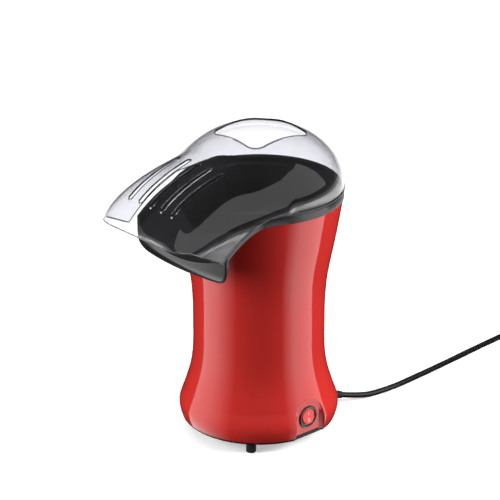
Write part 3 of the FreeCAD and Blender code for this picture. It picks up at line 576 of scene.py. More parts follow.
def swept_bead(bm, path, radius, up, sides=10):
    """A round bead along a line of points; up is any direction that is never along the line."""
    def bead_place(u, v):
        i = round(v * (len(path) - 1))
        ahead = (path[min(i + 1, len(path) - 1)] - path[max(i - 1, 0)]).normalized()
        side = ahead.cross(up).normalized()
        turn = 2 * math.pi * u
        return path[i] + (side * math.cos(turn) + side.cross(ahead) * math.sin(turn)) * radius

    verts = formed_sheet(bm, sides, len(path) - 1, bead_place)
    bmesh.ops.remove_doubles(bm, verts=verts, dist=TOUCHING)
    open_edges = [e for v in verts if v.is_valid for e in v.link_edges if e.is_boundary]
    bmesh.ops.holes_fill(bm, edges=list(set(open_edges)), sides=0)


def carve(piece, cutter_bm):
    """Cuts the cutter's solid out of a piece."""
    mesh = bpy.data.meshes.new("cutter")
    bmesh.ops.recalc_face_normals(cutter_bm, faces=cutter_bm.faces)
    cutter_bm.to_mesh(mesh)
    cutter_bm.free()
    cutter = bpy.data.objects.new("cutter", mesh)
    scene.collection.objects.link(cutter)
    cut = piece.modifiers.new("cut", "BOOLEAN")
    cut.object = cutter
    cut.solver = "EXACT"
    graph = bpy.context.evaluated_depsgraph_get()
    carved = bpy.data.meshes.new_from_object(piece.evaluated_get(graph))
    piece.modifiers.remove(cut)
    piece.data = carved
    bpy.data.objects.remove(cutter)
    shade(piece)


# %% [markdown]
# ## The rim's edge line
# The top edge of the black piece is level round the back and then falls in a curve along the spout.
# The band under it, the red body's own top edge and the clear cover's lower edge all follow this line,
# so it is one small formula that the pieces share.

# %% Edge line
RIM_TOP = 0.258
RIM_RADIUS = 0.0842
BAND = 0.0104
SKIRT = 0.0006
PART_LINE = 0.0003
SPOUT_START = -0.037
SPOUT_RUN = 0.063
SPOUT_DROP = 0.0263
SPOUT_HALF = 0.066
SPOUT_WALL = 0.003
SPOUT_ROOT = -0.038
TROUGH_SAG = 0.015
LIP_SAG = 0.006
LIP_APEX = -0.1075
LIP_BOW = 0.278
LIP_BOTTOM = 0.197
LIP_CORNER = 0.015


def edge_height(y):
    """Height of the top edge: level at the rim, then a falling parabola."""
    share = max(SPOUT_START - y, 0.0) / SPOUT_RUN
    return RIM_TOP - SPOUT_DROP * share ** 2


def trough_under(x, y):
    """Underside of the spout's round-bottomed floor."""
    aside = min(abs(x) / SPOUT_HALF, 1.0)
    ahead = min(max((SPOUT_ROOT - y) / (SPOUT_ROOT - LIP_APEX), 0.0), 1.0)
    sag = TROUGH_SAG + (LIP_SAG - TROUGH_SAG) * ahead
    return edge_height(y) - BAND - SKIRT - sag * (1 - aside ** 2)


def lip_line(x):
    """Bowed front line of the lip, as Y."""
    return LIP_APEX + LIP_BOW - math.sqrt(LIP_BOW ** 2 - x ** 2)


lip_end = lip_line(SPOUT_HALF)
print("lip corner", round(lip_end, 4), "edge there", round(edge_height(lip_end), 4))

# %% [markdown]
# ## Red body
# The body is a thin moulded shell, narrow at the waist and wide at the foot and the top. A smooth curve
# through a few points is its outline, which is spun round the axis. At the front the top edge dips to let
# the spout out, so the rows of points there slide down their own wall. Last, an arch is cut out for the
# switch, and a flat face with a sloped and rounded wall closes it as a recess.

# %% Red body
HOUSING_LOW = 0.014
HOUSING_WALL = 0.004
TOP_RADIUS = 0.083
TOP_HEIGHT = RIM_TOP - BAND - PART_LINE
WAIST = 0.116
DIP_START = -0.04
BODY_POINTS = [(0.0776, HOUSING_LOW), (0.0801, 0.025), (0.0746, 0.0445), (0.069, 0.064), (0.0658, WAIST),
               (0.0672, 0.155), (0.0767, 0.210), (TOP_RADIUS, TOP_HEIGHT)]
RECESS_X = 0.072
RECESS_HALF = 0.018
SWITCH_Z = 0.032


def smooth_outline(points, count):
    """Smooth curve through (radius, height) points: curve pieces that share their slopes."""
    slopes = [(b[0] - a[0]) / (b[1] - a[1]) for a, b in zip(points, points[1:])]
    rises = [b[1] - a[1] for a, b in zip(points, points[1:])]
    pairs = zip(slopes, slopes[1:], rises, rises[1:])
    inner = [(s0 * r1 + s1 * r0) / (r0 + r1) for s0, s1, r0, r1 in pairs]
    leans = [2 * slopes[0] - inner[0]] + inner + [2 * slopes[-1] - inner[-1]]
    outline = []
    for i, (a, b) in enumerate(zip(points, points[1:])):
        third = rises[i] / 3
        leaving = (a[0] + leans[i] * third, a[1] + third)
        arriving = (b[0] - leans[i + 1] * third, b[1] - third)
        run = interpolate_bezier(*[Vector((r, 0, z)) for r, z in (a, leaving, arriving, b)], count)
        outline += [(p.x, p.z) for p in run[:-1]]
    return outline + [points[-1]]


housing_outline = smooth_outline(BODY_POINTS, count=11)
outline_radius = [r for r, z in housing_outline]
outline_height = [z for r, z in housing_outline]


def body_radius(z):
    """Radius of the red wall's outer face at a height."""
    return float(np.interp(z, outline_height, outline_radius))


def body_top(x, y):
    """Top of the red wall: level, but under the spout where that passes over it."""
    if y > DIP_START or abs(x) > SPOUT_HALF:
        return TOP_HEIGHT
    return min(TOP_HEIGHT, trough_under(x, y) - PART_LINE)


bm = bmesh.new()
inner = [(r - HOUSING_WALL, z) for r, z in housing_outline]
turned_ring(bm, [(r, 0, z) for r, z in housing_outline + inner[::-1]], steps=192)
for vert in bm.verts:
    if vert.co.z <= WAIST:
        continue
    flat = Vector((vert.co.x, vert.co.y))
    inset = body_radius(vert.co.z) - flat.length
    way = flat.normalized()
    top = body_top(way.x * TOP_RADIUS, way.y * TOP_RADIUS)
    height = WAIST + (vert.co.z - WAIST) * (top - WAIST) / (TOP_HEIGHT - WAIST)
    radius = body_radius(height) - inset
    vert.co = (way.x * radius, way.y * radius, height)
red_body = finish_piece("red_body", bm, "stand", "red_gloss", "outer_housing")

# %% Recess for the switch
RECESS_ROUND = 0.0009
RECESS_FACE = RECESS_X + 0.0012
RECESS_INSIDE = 0.0148
RECESS_BACKING = 0.0025
RECESS_TUCK = 0.0006
RECESS_SKIN = 0.001
CUT_BACK = RECESS_X - 0.012
CUT_FRONT = RECESS_X + 0.02
ARCH_STEPS = 48
flare_turns = [math.radians(18 * i) for i in range(6)]
flare = [(RECESS_ROUND * (1 - math.cos(a)), RECESS_ROUND * (1 - math.sin(a))) for a in flare_turns]


def arch_line(half, low):
    """Points (y, z) of an arch: up one side, over the round top and down the other."""
    over = [math.pi * i / ARCH_STEPS for i in range(ARCH_STEPS + 1)]
    round_top = [(half * math.cos(a), SWITCH_Z + half * math.sin(a)) for a in over]
    return [(half, low)] + round_top + [(-half, low)]


def arch_block(bm, half, low, back, front):
    """A solid arch between two depths."""
    pushed_face(bm, [(back, y, z) for y, z in arch_line(half, low)], (front - back, 0, 0))


bm = bmesh.new()
arch_block(bm, RECESS_HALF + RECESS_ROUND, 0.0, CUT_BACK, CUT_FRONT)
carve(red_body, bm)


def recess_place(u, v):
    """The recess's side wall: it slopes out from the flat face and rolls over onto the body."""
    inside = arch_line(RECESS_INSIDE, HOUSING_LOW)
    outside = arch_line(RECESS_HALF, HOUSING_LOW)
    i = round(u * (len(inside) - 1))
    row = round(v * len(flare))
    if row == 0:
        return Vector((RECESS_FACE, *inside[i]))
    y, z = outside[i]
    away = Vector((y, max(z - SWITCH_Z, 0.0))).normalized()
    out, short = flare[row - 1]
    y, z = y + away.x * out, z + away.y * out
    surface = math.sqrt(body_radius(z) ** 2 - y ** 2)
    return Vector((max(surface - short, RECESS_FACE), y, z))


bm = bmesh.new()
arch_block(bm, RECESS_INSIDE + RECESS_TUCK, HOUSING_LOW, RECESS_FACE - RECESS_BACKING, RECESS_FACE)
thick_sheet(bm, ARCH_STEPS + 2, len(flare), recess_place, -RECESS_SKIN, Vector((RECESS_X, 0, SWITCH_Z)))
finish_piece("switch_recess", bm, "stand", "red_gloss", "outer_housing")

# %% [markdown]
# ## Black upper piece
# One black moulding makes the rim, the bowl and the spout. It is drawn here as its walls: a band that
# is swept along the rim and down both sides of the spout, a turned bowl, a round-bottomed spout floor
# and a bowed lip in front. A rounded bead runs along the top edge and on round the lip.

# %% Rim band and spout walls
BAND_BLEND = 24
BEAD = 0.0017
BEAD_PROUD = 0.0007
BAND_INSIDE = 0.0036
BEAD_LOW = -2.1 * BEAD
BAND_STEPS = 300
TURN_STEP = 0.002
STRAIGHT_AHEAD = 0.01
bead_turns = [math.radians(-50 + 23 * i) for i in range(11)]
band_section = [(BEAD_PROUD, -BAND - SKIRT), (BEAD_PROUD, BEAD_LOW)]
band_section += [(BEAD * (1 - math.cos(a)), BEAD * (math.sin(a) - 1)) for a in bead_turns]
band_section += [(BAND_INSIDE, BEAD_LOW), (BAND_INSIDE, -BAND)]
corner_turn = math.atan2(lip_end, SPOUT_HALF)


def along_rim(share):
    """Turn of a point on the rim, from one corner of the lip round the back to the other."""
    return corner_turn + (math.pi - 2 * corner_turn) * share


def rim_plan(turn):
    """Outer edge of the rim and of the spout walls, seen from above."""
    c, s = math.cos(turn), math.sin(turn)
    radius = RIM_RADIUS
    if s < 0 and abs(c) > STRAIGHT_AHEAD:
        radius = (RIM_RADIUS ** BAND_BLEND + (SPOUT_HALF / abs(c)) ** BAND_BLEND) ** (1 / BAND_BLEND)
    return Vector((radius * c, radius * s, 0))


def band_place(u, v):
    """Point of the band: u goes round its section and v along the rim."""
    inset, drop = band_section[round(u * len(band_section)) % len(band_section)]
    turn = along_rim(v)
    ahead = rim_plan(turn + TURN_STEP) - rim_plan(turn - TURN_STEP)
    inward = Vector((-ahead.y, ahead.x, 0)).normalized()
    place = rim_plan(turn) + inward * inset
    return Vector((place.x, place.y, edge_height(rim_plan(turn).y) + drop))


upper = bmesh.new()
formed_sheet(upper, len(band_section), BAND_STEPS, band_place)
close_holes(upper)
print("band faces", len(upper.faces))

# %% Bowl
BOWL_WALL = 0.0012
BOWL_LOW = 0.203
SEAT = 0.251
MOUTH_START = -0.03
MOUTH_TUCK = 0.0004
bowl_inside = [(0.046, 0.190), (0.0505, 0.1905), (0.062, 0.1985), (0.0665, 0.203), (0.0692, 0.211),
               (0.0715, 0.222), (0.0743, 0.236), (0.076, 0.246), (0.076, 0.2502), (0.0767, SEAT),
               (0.081, SEAT)]


def bowl_top(x, y):
    """Height that the bowl's wall reaches: the seat, but the spout's floor where that leads out."""
    if y > MOUTH_START or abs(x) > SPOUT_HALF - SPOUT_WALL:
        return SEAT
    return min(SEAT, trough_under(x, y) + SPOUT_WALL - MOUTH_TUCK)


outside = [(r + BOWL_WALL, z - BOWL_WALL) for r, z in bowl_inside]
before = set(upper.verts)
turned_ring(upper, [(r, 0, z) for r, z in bowl_inside + outside[::-1]], steps=160)
for vert in set(upper.verts) - before:
    if vert.co.z > BOWL_LOW:
        top = bowl_top(vert.co.x, vert.co.y)
        vert.co.z = BOWL_LOW + (vert.co.z - BOWL_LOW) * (top - BOWL_LOW) / (SEAT - BOWL_LOW)

# %% Spout floor and lip
FLOOR_THICK = 0.0024
FLOOR_HALF = SPOUT_HALF - SPOUT_WALL + 0.0008
FLOOR_SHORT = 0.0005
MOUTH_RADIUS = 0.0767
LIP_ROLL = 0.005
LIP_ROLL_HEIGHT = 0.01
LIP_ROLL_POWER = 1.5
LIP_LEAST = 0.001
UNDER_FLOOR = Vector((0, -0.09, 0))
BEHIND_LIP = Vector((0, 0, 0.21))


def floor_place(u, v):
    """Point of the spout's floor: u goes across it and v from the bowl to the lip."""
    x = (2 * u - 1) * FLOOR_HALF
    back = -math.sqrt(MOUTH_RADIUS ** 2 - x ** 2)
    y = back + (lip_line(x) + FLOOR_SHORT - back) * v
    return Vector((x, y, trough_under(x, y) + SPOUT_WALL))


def lip_under(z):
    """How far the lip is drawn back at a height: its lower edge rolls under."""
    return LIP_ROLL * max(1 - (z - LIP_BOTTOM) / LIP_ROLL_HEIGHT, 0.0) ** LIP_ROLL_POWER


def lip_place(u, v):
    """Point of the lip: u goes across it and v from the spout's floor down."""
    x = (2 * u - 1) * SPOUT_HALF
    past = max(abs(x) - (SPOUT_HALF - LIP_CORNER), 0.0)
    bottom = LIP_BOTTOM + LIP_CORNER - math.sqrt(max(LIP_CORNER ** 2 - past ** 2, 0.0))
    top = max(trough_under(x, lip_line(x)) + SPOUT_WALL, bottom + LIP_LEAST)
    z = top + (bottom - top) * v
    return Vector((x, lip_line(x) + lip_under(z), z))


thick_sheet(upper, 48, 40, floor_place, FLOOR_THICK, UNDER_FLOOR)
thick_sheet(upper, 64, 12, lip_place, SPOUT_WALL, BEHIND_LIP)
finish_piece("upper_piece", upper, "stand", "black_gloss", "upper_chute")

# %% Bead along the rim and round the lip
LIP_BEAD = 0.0016
LIP_BEAD_BACK = 0.6 * LIP_BEAD
RIM_BEAD = 0.0021
RIM_BEAD_IN = 1.05 * RIM_BEAD
RIM_STEPS = 240
lip_side = SPOUT_HALF - LIP_BEAD
drawn_in = SPOUT_HALF - LIP_CORNER
bend = LIP_CORNER - LIP_BEAD
corner_arc = [math.radians(90 * i / 8) for i in range(9)]
bend_height = LIP_BOTTOM + LIP_CORNER
quarter = [(drawn_in + bend * math.cos(a), bend_height - bend * math.sin(a)) for a in corner_arc]
wall_top = edge_height(lip_line(lip_side)) - LIP_BEAD
half_path = [(lip_side, wall_top + (quarter[0][1] - wall_top) * i / 4) for i in range(4)] + quarter
half_path += [(drawn_in * (1 - i / 12), LIP_BOTTOM + LIP_BEAD) for i in range(1, 13)]
whole_path = half_path + [(-x, z) for x, z in half_path[-2::-1]]
lip_path = [Vector((x, lip_line(x) + lip_under(z) + LIP_BEAD_BACK, z)) for x, z in whole_path]


def rim_bead_point(share):
    """Point of the bead's middle line, just inside the rim's outer edge."""
    edge = rim_plan(along_rim(share))
    return edge * (1 - RIM_BEAD_IN / edge.length) + UPWARD * (edge_height(edge.y) - RIM_BEAD)


rim_path = [rim_bead_point(i / RIM_STEPS) for i in range(RIM_STEPS + 1)]
bm = bmesh.new()
swept_bead(bm, lip_path, LIP_BEAD, up=Vector((0, 1, 0)))
swept_bead(bm, rim_path, RIM_BEAD, up=UPWARD, sides=12)
beads = finish_piece("rim_bead", bm, "stand", "black_satin", "upper_chute")
repaint(beads, BEAD_BLACK)

# %% [markdown]
# ## Clear cover
# The cover is one clear shell: a dome over the bowl that runs forward into a long visor. Each level section
# is the dome's circle blended with a rounded tongue, so a formula gives the whole surface. Its rows of
# points run from the lower edge up to the rounded filling opening. The five slots are cut afterwards.
# A thick edge of clear plastic looks dark, so thin darker beads follow the edges and the slots.

# %% Cover shell
COVER_WALL = 0.0016
DOME_RADIUS = 0.0834
DOME_HEIGHT = 0.0609
DOME_POWER = 2.05
VISOR_REACH = 0.1525
VISOR_HALF = 0.070
VISOR_BASE = 0.240
VISOR_HEIGHT = 0.0645
VISOR_POWER = 2.05
VISOR_DIP = (-0.109, 0.225)
VISOR_CORNER = (-0.1425, 0.2425)
COVER_BLEND = 7
VISOR_SHOULDER = 0.4
VISOR_SQUARE = 4.5
VISOR_END = 0.999
NEARLY_TOP = 0.9999
LIFT_GAP = 0.0004
COVER_STEPS = 240
COVER_ROWS = 44
COVER_INSIDE = Vector((0, 0, 0.25))
OPENING_HALF = 0.034
OPENING_FRONT = -0.0355
OPENING_BACK = 0.0397
OPENING_CORNER = 0.013
SLOT_COUNT = 5
SLOT_PITCH = 0.0154
SLOT_HALF = 0.0028
SLOT_TOP = -0.077
SLOT_END = -0.1345


def cover_radius(turn, z):
    """Distance of the cover's outer face from the axis, at a turn and a height."""
    rise = min(max((z - RIM_TOP) / DOME_HEIGHT, 0.0), NEARLY_TOP)
    dome = DOME_RADIUS * (1 - rise ** DOME_POWER) ** (1 / DOME_POWER)
    c, s = abs(math.cos(turn)), math.sin(turn)
    lift = min(max((z - VISOR_BASE) / VISOR_HEIGHT, 0.0), NEARLY_TOP)
    if s >= 0 or lift > VISOR_END:
        return dome
    shrink = (1 - lift ** VISOR_POWER) ** (1 / VISOR_POWER)
    square = VISOR_SQUARE * (1 + (1 - lift) ** 3)
    aside, ahead = c / (VISOR_HALF * shrink), -s / (VISOR_REACH * shrink)
    tongue = (aside ** square + ahead ** square) ** (-1 / square)
    tongue *= soft_step(-s, 0.0, VISOR_SHOULDER)
    return (dome ** COVER_BLEND + tongue ** COVER_BLEND) ** (1 / COVER_BLEND)


def opening_radius(turn):
    """Distance of the filling opening's edge from the axis: a rectangle with round corners."""
    way = Vector((math.cos(turn), math.sin(turn)))
    centre = (OPENING_FRONT + OPENING_BACK) / 2
    half = Vector((OPENING_HALF, (OPENING_BACK - OPENING_FRONT) / 2))

    def in_opening(radius):
        past_x = max(abs(way.x * radius) - half.x + OPENING_CORNER, 0.0)
        past_y = max(abs(way.y * radius - centre) - half.y + OPENING_CORNER, 0.0)
        return math.hypot(past_x, past_y) < OPENING_CORNER

    return last_within(0.0, 0.1, in_opening)


def cover_height(turn, radius):
    """Height at which the cover's outer face is this far from the axis."""
    return last_within(VISOR_BASE, RIM_TOP + DOME_HEIGHT, lambda z: cover_radius(turn, z) > radius)


def cover_low(turn):
    """Height of the cover's lower edge: on the rim, down the spout walls and along the visor."""
    z = RIM_TOP
    for _ in range(12):
        y = cover_radius(turn, z) * math.sin(turn)
        if y > VISOR_DIP[0]:
            z = edge_height(y) + LIFT_GAP
        else:
            share = min((VISOR_DIP[0] - y) / (VISOR_DIP[0] - VISOR_CORNER[0]), 1.0)
            z = VISOR_DIP[1] + (VISOR_CORNER[1] - VISOR_DIP[1]) * share
    return z


def cover_place(u, v):
    """Point of the cover's outer face: u goes round it and v from the lower edge to the opening."""
    turn = 2 * math.pi * u - math.pi / 2
    low = cover_low(turn)
    high = cover_height(turn, opening_radius(turn))
    z = low + (high - low) * math.sin(v * math.pi / 2)
    radius = cover_radius(turn, z)
    return Vector((radius * math.cos(turn), radius * math.sin(turn), z))


bm = bmesh.new()
thick_sheet(bm, COVER_STEPS, COVER_ROWS, cover_place, COVER_WALL, COVER_INSIDE)
cover = finish_piece("clear_cover_shell", bm, "cover", "clear", "clear_cover")

# %% Rolled edges of the cover
EDGE_BEAD = 0.0008
EDGE_MIDDLE_Y = -0.02
bm = bmesh.new()
for level in (0.0, 1.0):
    loop = [cover_place(i / COVER_STEPS, level) for i in range(COVER_STEPS + 1)]
    inward = [(Vector((0, EDGE_MIDDLE_Y, p.z)) - p).normalized() for p in loop]
    middle_line = [p + way * COVER_WALL / 2 for p, way in zip(loop, inward)]
    swept_bead(bm, middle_line, EDGE_BEAD, up=UPWARD, sides=8)
cover_edge = finish_piece("cover_edge", bm, "cover", "clear", "clear_cover")
repaint(cover_edge, CLEAR_EDGE)

# %% Slots of the cover
SLOT_BEAD = 0.0005
SLOT_BEAD_SUNK = 0.0002
SLOT_STEPS = 12
CUTTER_LOW = 0.262
CUTTER_TALL = 0.08


def slot_outline(i):
    """One slot seen from above: two straight sides and round ends."""
    x = (i - (SLOT_COUNT - 1) / 2) * SLOT_PITCH
    half_turn = [math.pi * k / SLOT_STEPS for k in range(SLOT_STEPS + 1)]
    outline = [(x + SLOT_HALF * math.cos(a), SLOT_TOP + SLOT_HALF * math.sin(a)) for a in half_turn]
    steps = [SLOT_TOP + (SLOT_END - SLOT_TOP) * k / SLOT_STEPS for k in range(1, SLOT_STEPS)]
    outline += [(x - SLOT_HALF, y) for y in steps]
    outline += [(x - SLOT_HALF * math.cos(a), SLOT_END - SLOT_HALF * math.sin(a)) for a in half_turn]
    return outline + [(x + SLOT_HALF, y) for y in steps[::-1]]


def slot_edge_point(x, y):
    """Point of a slot's bead, a little under the cover's outer face."""
    height = cover_height(math.atan2(y, x), math.hypot(x, y))
    return Vector((x, y, height - SLOT_BEAD_SUNK))


cutters = bmesh.new()
slot_beads = bmesh.new()
for i in range(SLOT_COUNT):
    outline = slot_outline(i)
    pushed_face(cutters, [(x, y, CUTTER_LOW) for x, y in outline], (0, 0, CUTTER_TALL))
    loop = [slot_edge_point(x, y) for x, y in outline + outline[:1]]
    swept_bead(slot_beads, loop, SLOT_BEAD, up=UPWARD, sides=8)
carve(cover, cutters)
slot_edge = finish_piece("slot_edges", slot_beads, "cover", "clear", "clear_cover")
repaint(slot_edge, CLEAR_EDGE)
print("cover faces", len(cover.data.polygons))

# %% [markdown]
# ## Switch
# A round rocker switch sits in the recess: a black ring with a rolled front edge, and in it a red rocker
# that is dented along its pivot. A pale line and a pale ring mark on and off.

# %% Switch ring
BEZEL_RADIUS = 0.0116
BEZEL_FRONT = RECESS_X + 0.0028
BARREL_RADIUS = 0.0099
BARREL_BORE = 0.0088
BARREL_BACK = RECESS_X - 0.017
BORE_BACK = RECESS_X - 0.0114
BORE_FRONT = RECESS_X + 0.0006
ROLL = 0.0013
SWITCH_CENTRE = Vector((0, 0, SWITCH_Z))
FACING = Vector((1, 0, 0))

roll_x, roll_radius = BEZEL_FRONT - ROLL, BEZEL_RADIUS - ROLL
roll_turns = [math.radians(15 * i) for i in range(10)]
ring_outline = [(BARREL_BACK, 0.0), (BARREL_BACK, BARREL_RADIUS)]
ring_outline += [(RECESS_X, BARREL_RADIUS), (RECESS_X, BEZEL_RADIUS)]
ring_outline += [(roll_x + ROLL * math.sin(a), roll_radius + ROLL * math.cos(a)) for a in roll_turns]
ring_outline += [(BORE_FRONT, BARREL_BORE), (BORE_BACK, BARREL_BORE), (BORE_BACK, 0.0)]
bm = bmesh.new()
turned_ring(bm, [(x, 0, SWITCH_Z + r) for x, r in ring_outline], 96, SWITCH_CENTRE, FACING)
finish_piece("switch_ring", bm, "stand", "black_gloss", "switch_body")

# %% Rocker and its marks
ROCKER_RADIUS = 0.0084
ROCKER_FACE = 0.0040
ROCKER_DENT = 0.0009
ROCKER_TILT = math.radians(-8)
ROCKER_SHARP = math.radians(50)
FACE_PROUD = 0.00001
PIVOT = Vector((RECESS_X - 0.001, 0, SWITCH_Z))
face_radius = math.sqrt(ROCKER_RADIUS ** 2 - ROCKER_FACE ** 2)


def face_height(up):
    """How far the rocker's face stands before its pivot, so far above the middle."""
    return ROCKER_FACE - ROCKER_DENT * max(1 - abs(up) / face_radius, 0.0)


steep = math.asin(ROCKER_FACE / ROCKER_RADIUS)
rocker_outline = [(-ROCKER_FACE, 0.0)]
side_turns = [steep * (2 * i / 12 - 1) for i in range(13)]
rocker_outline += [(ROCKER_RADIUS * math.sin(a), ROCKER_RADIUS * math.cos(a)) for a in side_turns]
rocker_outline += [(ROCKER_FACE + FACE_PROUD, face_radius * (1 - i / 10)) for i in range(1, 11)]
bm = bmesh.new()
turned_ring(bm, [(PIVOT.x + x, 0, SWITCH_Z + r) for x, r in rocker_outline], 72, SWITCH_CENTRE, FACING)
for vert in bm.verts:
    if vert.co.x > PIVOT.x + ROCKER_FACE:
        vert.co.x = PIVOT.x + face_height(vert.co.z - SWITCH_Z)
tip = Matrix.Rotation(ROCKER_TILT, 3, "Y")
bmesh.ops.rotate(bm, verts=bm.verts, cent=PIVOT, matrix=tip)
finish_piece("rocker", bm, "rocker", "rocker_red", "switch_rocker", sharp=ROCKER_SHARP)

LINE_BEAD = 0.0004
LINE_LOW = 0.0018
LINE_LENGTH = 0.0032
RING_BEAD = 0.00032
RING_LOW = -0.0036
RING_WIDE = 0.0013
RING_TALL = 0.0015
line_mark = [(0, LINE_LOW + LINE_LENGTH * i / 4) for i in range(5)]
ring_turns = [2 * math.pi * i / 24 for i in range(25)]
ring_mark = [(RING_WIDE * math.cos(a), RING_LOW + RING_TALL * math.sin(a)) for a in ring_turns]
bm = bmesh.new()
for mark, bead, up in ((line_mark, LINE_BEAD, Vector((0, 1, 0))), (ring_mark, RING_BEAD, FACING)):
    swept_bead(bm, [PIVOT + Vector((face_height(z), y, z)) for y, z in mark], bead, up, sides=8)
bmesh.ops.rotate(bm, verts=bm.verts, cent=PIVOT, matrix=tip)
finish_piece("rocker_marks", bm, "rocker", "fan_white", "switch_rocker")

# %% [markdown]
# ## Base plate, feet and cord bush
# A thin black plate with slots for the air closes the body from below, and is cut straight under the
# recess. It has four plain rubber feet with a rounded lower edge. A tapered bush with ribs lets the lead
# bend gently where it leaves the body.

# %% Base plate
PLATE_RADIUS = 0.077
PLATE_INNER = 0.0748
PLATE_LOW = 0.0116
PLATE_STEP = 0.014
PLATE_TOP = 0.0155
PLATE_ROUND = 0.0006
PLATE_SHOWS = 0.0003
INLET_COUNT = 8
INLET_MIDDLE = 0.044
INLET_LENGTH = 0.026
INLET_WIDTH = 0.004
CUT_DEEP = 0.02
CUT_WIDE = 2 * RECESS_HALF + 0.002
plate_outline = [(0, PLATE_LOW), (PLATE_RADIUS - PLATE_ROUND, PLATE_LOW)]
plate_outline += [(PLATE_RADIUS, PLATE_LOW + PLATE_ROUND), (PLATE_RADIUS, PLATE_STEP)]
plate_outline += [(PLATE_INNER, PLATE_STEP), (PLATE_INNER, PLATE_TOP), (0, PLATE_TOP)]
bm = bmesh.new()
turned_ring(bm, [(r, 0, z) for r, z in plate_outline], steps=160)
floor_plate = finish_piece("floor_plate", bm, "stand", "black_satin", "base_plate")
bm = bmesh.new()
block(bm, (CUT_DEEP, CUT_WIDE, CUT_DEEP), (RECESS_FACE + PLATE_SHOWS + CUT_DEEP / 2, 0, PLATE_LOW))
for i in range(INLET_COUNT):
    inlet = block(bm, (INLET_LENGTH, INLET_WIDTH, CUT_DEEP), (INLET_MIDDLE, 0, PLATE_LOW))
    turn = Matrix.Rotation(2 * math.pi * (i + 0.5) / INLET_COUNT, 3, "Z")
    bmesh.ops.rotate(bm, verts=inlet, cent=(0, 0, 0), matrix=turn)
carve(floor_plate, bm)
repaint(floor_plate, BEAD_BLACK)

# %% Feet
FOOT_RADIUS = 0.005
FOOT_HEIGHT = 0.0116
FOOT_SPREAD = 0.068
FOOT_TURNS = {
    "foot_front_right": -48, "foot_front_left": -132, "foot_back_left": 132, "foot_back_right": 48,
}
FOOT_ROUND = 0.001
FOOT_ROUND_MIDDLE = 0.0003
STEM_RADIUS = 0.0025
STEM_TOP = 0.0155
foot_outline = [(0, 0), (FOOT_RADIUS - FOOT_ROUND, 0), (FOOT_RADIUS - FOOT_ROUND_MIDDLE, FOOT_ROUND_MIDDLE),
                (FOOT_RADIUS, FOOT_ROUND), (FOOT_RADIUS, FOOT_HEIGHT), (STEM_RADIUS, FOOT_HEIGHT),
                (STEM_RADIUS, STEM_TOP), (0, STEM_TOP)]
for name, turn in FOOT_TURNS.items():
    x = FOOT_SPREAD * math.cos(math.radians(turn))
    y = FOOT_SPREAD * math.sin(math.radians(turn))
    bm = bmesh.new()
    turned_ring(bm, [(x + r, y, z) for r, z in foot_outline], 40, (x, y, 0))
    finish_piece(name + "_pad", bm, "stand", "foot_rubber", name)

# %% Cord bush
RELIEF_ROOT = 0.005
RELIEF_TIP = 0.0039
RELIEF_INSIDE = 0.005
RELIEF_START = 0.001
RIB_COUNT = 5
RIB_DEPTH = 0.0006
RIB_STEPS = 8
bush_outline = [(-RELIEF_INSIDE, 0.0), (-RELIEF_INSIDE, RELIEF_ROOT)]
for i in range(RIB_COUNT * RIB_STEPS + 1):
    share = i / (RIB_COUNT * RIB_STEPS)
    along = RELIEF_START + (RELIEF_LENGTH - RELIEF_START) * share
    groove = RIB_DEPTH * (0.5 - 0.5 * math.cos(2 * math.pi * RIB_COUNT * share)) ** 2
    bush_outline.append((along, RELIEF_ROOT + (RELIEF_TIP - RELIEF_ROOT) * share - groove))
bush_outline.append((RELIEF_LENGTH, 0.0))
bush_side = exit_way.cross(UPWARD).normalized()
bush_points = [exit_point + exit_way * d + bush_side * r for d, r in bush_outline]
bm = bmesh.new()
turned_ring(bm, bush_points, 40, exit_point, exit_way)
finish_piece("cord_bush", bm, "stand", "black_satin", "strain_relief")

# %% [markdown]
# ## Plug
# A flat two-pin plug ends the lead. Its body swells from a round neck into a flat head, with a few shallow
# grip ribs, and the two round pins have domed tips.

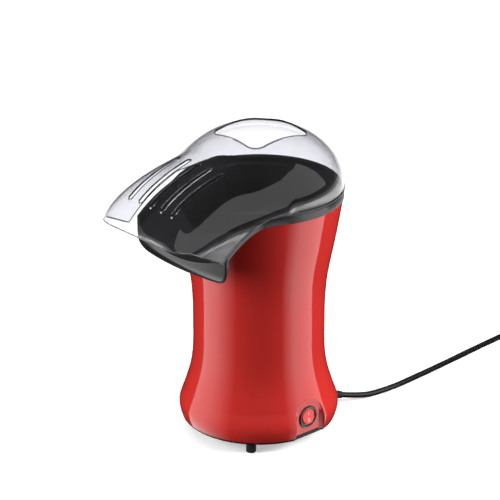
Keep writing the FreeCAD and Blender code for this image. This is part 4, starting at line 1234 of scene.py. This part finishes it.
# %% Plug body and pins
PLUG_LENGTH = 0.036
PLUG_NECK = 0.0041
PLUG_WIDE = 0.0138
PLUG_THICK = 0.0056
PLUG_ROUND = 0.0062
PIN_RADIUS = 0.002
PIN_LENGTH = 0.019
PIN_SPREAD = 0.0186
NECK_ZONE = (0.0, 0.45)
RIB_ZONE = (0.08, 0.42)
WIDEN_ZONE = (0.46, 0.66)
FLATTEN_ZONE = (0.5, 0.62)
FACE_ZONE = (0.96, 1.0)
GRIP_RIBS = 4
GRIP_DEPTH = 0.06
FACE_SOFTEN = 0.12
HEAD_SQUARE = 1.2
plug_side = tail_way.cross(UPWARD).normalized()
plug_rise = plug_side.cross(tail_way)


def plug_place(u, v):
    """Point of the plug's body: u goes round it and v from the lead to the pins."""
    turn = 2 * math.pi * u
    c, s = math.cos(turn), math.sin(turn)
    flatten = soft_step(v, *FLATTEN_ZONE)
    rib = 1 - GRIP_DEPTH * (0.5 - 0.5 * math.cos(2 * math.pi * GRIP_RIBS * soft_step(v, *RIB_ZONE)))
    wide = (PLUG_NECK + (PLUG_ROUND - PLUG_NECK) * soft_step(v, *NECK_ZONE)) * rib
    high = wide + (PLUG_THICK - PLUG_ROUND) * flatten
    wide += (PLUG_WIDE - PLUG_ROUND) * soft_step(v, *WIDEN_ZONE)
    soften = 1 - FACE_SOFTEN * soft_step(v, *FACE_ZONE) ** 2
    square = 2 + HEAD_SQUARE * flatten
    reach = (abs(c) ** square + abs(s) ** square) ** (-1 / square) * soften
    return plug_base + tail_way * (PLUG_LENGTH * v) + (plug_side * wide * c + plug_rise * high * s) * reach


bm = bmesh.new()
formed_sheet(bm, 48, 50, plug_place)
close_holes(bm)
plug = finish_piece("plug", bm, "stand", "cord_black", "plug_body")

pin_straight = PIN_LENGTH - PIN_RADIUS
tip_turns = [math.radians(15 * i) for i in range(1, 7)]
pin_outline = [(0.0, 0.0), (0.0, PIN_RADIUS), (pin_straight, PIN_RADIUS)]
pin_outline += [(pin_straight + PIN_RADIUS * math.sin(a), PIN_RADIUS * math.cos(a)) for a in tip_turns]
bm = bmesh.new()
for sign in (-1, 1):
    foot = plug_base + tail_way * PLUG_LENGTH + plug_side * (sign * PIN_SPREAD / 2)
    turned_ring(bm, [foot + tail_way * d + plug_rise * r for d, r in pin_outline], 32, foot, tail_way)
pins = finish_piece("pins", bm, "stand", "pin_brass", "plug_pins")
